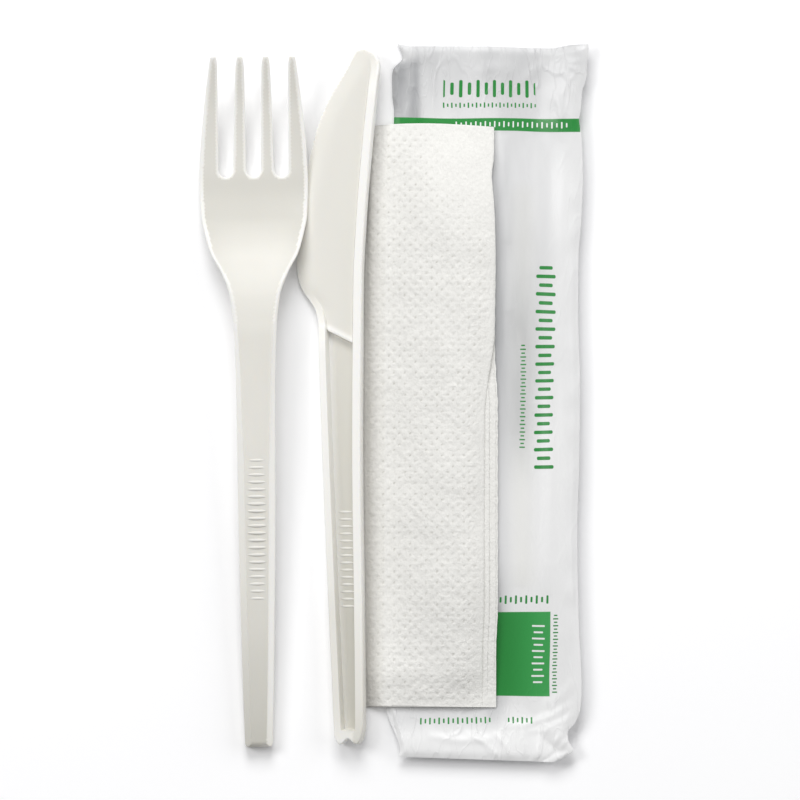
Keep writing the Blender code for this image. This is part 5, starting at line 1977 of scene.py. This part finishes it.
    def puffed(self, corners: Array, v: Array) -> Array:
        """How far the face puffs between its pins: less at its edges and on the smooth corner."""
        u, w = np.meshgrid(corners[:, 0, 0] - self.left, v, indexing="ij")
        x = corners[:, :, 0]
        edge = np.minimum(w, self.length - w)
        weight = ease(0.0, self.puff_end, edge) * self.full(x)
        outside, inside = self.puff_side
        weight *= ease(x[-1:] + outside, x[-1:] - inside, x)
        middle, across, lengthways = self.smooth_corner
        far = np.hypot((u - middle) / across, (w - self.length) / lengthways)
        return weight * (self.least_puff + (1.0 - self.least_puff) * ease(*self.smooth_fade, far))

    def build(self, rules: Rules, material: Material) -> None:
        corners, faces, weights = self.mesh()
        corners, faces, used = used_corners(corners, faces)
        napkin = mesh_object("napkin_sheet", corners, faces, self.sharp)
        napkin.data.materials.append(material)
        keep_values(napkin, "puff", weights[used])
        rules.apply(napkin, rules.pins, {"Material": material, "Puff": self.puff})
        napkin.data.attributes.remove(napkin.data.attributes["puff"])
        hand_over(napkin, ("napkin",))


@dataclass(frozen=True)
class Softbox:
    """One square studio light: where it stands, how wide it is and how strong."""

    name: str
    place: tuple[float, float, float]
    size: float
    power: float
    colour: Colour = (1.0, 1.0, 1.0)

    def build(self) -> None:
        """Make the light and turn it to the origin."""
        data = bpy.data.lights.new(self.name, "AREA")
        data.shape = "SQUARE"
        data.size = self.size
        data.energy = self.power
        data.color = self.colour
        light = bpy.data.objects.new(self.name, data)
        light.location = self.place
        light.rotation_euler = (-Vector(self.place)).to_track_quat("-Z", "Y").to_euler()
        bpy.context.scene.collection.objects.link(light)


@dataclass
class Studio:
    """White table, soft light from the upper left and a camera straight above."""

    table_half: float = 1.5
    table_gap: float = 0.05 * MM
    table_colour: Colour = (0.86, 0.86, 0.87)
    seen_table_colour: Colour = (1.12, 1.12, 1.13)
    world_strength: float = 0.28
    view_width: float = 0.19102
    view_centre: Point = (1.433 * MM, 0.716 * MM)
    view_height: float = 2.0
    lights: tuple[Softbox, ...] = (
        Softbox("top_light", (-0.10, 0.85, 0.85), 0.60, 7.2),
        Softbox("left_light", (-0.80, 0.30, 0.95), 0.50, 4.8),
        Softbox("right_light", (1.00, 0.25, 0.55), 1.00, 4.3),
    )

    def table(self) -> None:
        """Plain table that the camera sees a little brighter than it lights the set."""
        half = self.table_half
        points = np.array(((-half, -half, 0.0), (half, -half, 0.0), (half, half, 0.0), (-half, half, 0.0)))
        table = mesh_object("table", points - np.array((0.0, 0.0, self.table_gap)), [[0, 1, 2, 3]])
        material = bpy.data.materials.new("table_white")
        material.use_nodes = True
        graph = Graph(material.node_tree)
        shader = material.node_tree.nodes["Principled BSDF"]
        shader.inputs["Roughness"].default_value = 1.0
        shader.inputs["Specular IOR Level"].default_value = 0.0
        path = graph.add("ShaderNodeLightPath")
        seen = graph.math("MAXIMUM", path.outputs["Is Camera Ray"], path.outputs["Is Glossy Ray"])
        graph.put(shader.inputs["Base Color"], graph.mix(seen, self.table_colour, self.seen_table_colour))
        table.data.materials.append(material)

    def build(self) -> None:
        """Make the table, the world, the lights and the camera."""
        self.table()
        world = bpy.data.worlds.new("studio")
        world.use_nodes = True
        graph = Graph(world.node_tree)
        background = world.node_tree.nodes["Background"]
        background.inputs["Color"].default_value = (1.0, 1.0, 1.0, 1.0)
        seen = graph.add("ShaderNodeLightPath").outputs["Is Camera Ray"]
        graph.put(background.inputs["Strength"], graph.math("MAXIMUM", seen, self.world_strength))
        bpy.context.scene.world = world
        for light in self.lights:
            light.build()
        data = bpy.data.cameras.new("camera")
        data.type = "ORTHO"
        data.ortho_scale = self.view_width
        camera = bpy.data.objects.new("camera", data)
        camera.location = (*self.view_centre, self.view_height)
        bpy.context.scene.collection.objects.link(camera)
        bpy.context.scene.camera = camera
        bpy.context.scene.view_settings.view_transform = "Standard"


def main() -> None:
    """Build every piece and the studio."""
    logging.basicConfig(level=logging.INFO, format="%(name)s %(message)s")
    effects, rules = Effects(), Rules()
    bioplastic = Bioplastic("ivory_bioplastic", srgb(238, 236, 229), 0.42, 0.32).build(effects)
    tissue = TissuePaper("tissue_paper", srgb(242, 241, 237), 0.95, 0.15).build(effects)
    film = PrintedFilm("printed_film", srgb(242, 242, 242), 0.34, 0.38).build(effects)
    Studio().build()
    pack = FilmPack()
    pack.build(film)
    Napkin(pack).build(rules, tissue)
    Knife().build(rules, bioplastic)
    Fork().build(rules, bioplastic)


if __name__ == "__main__":
    main()
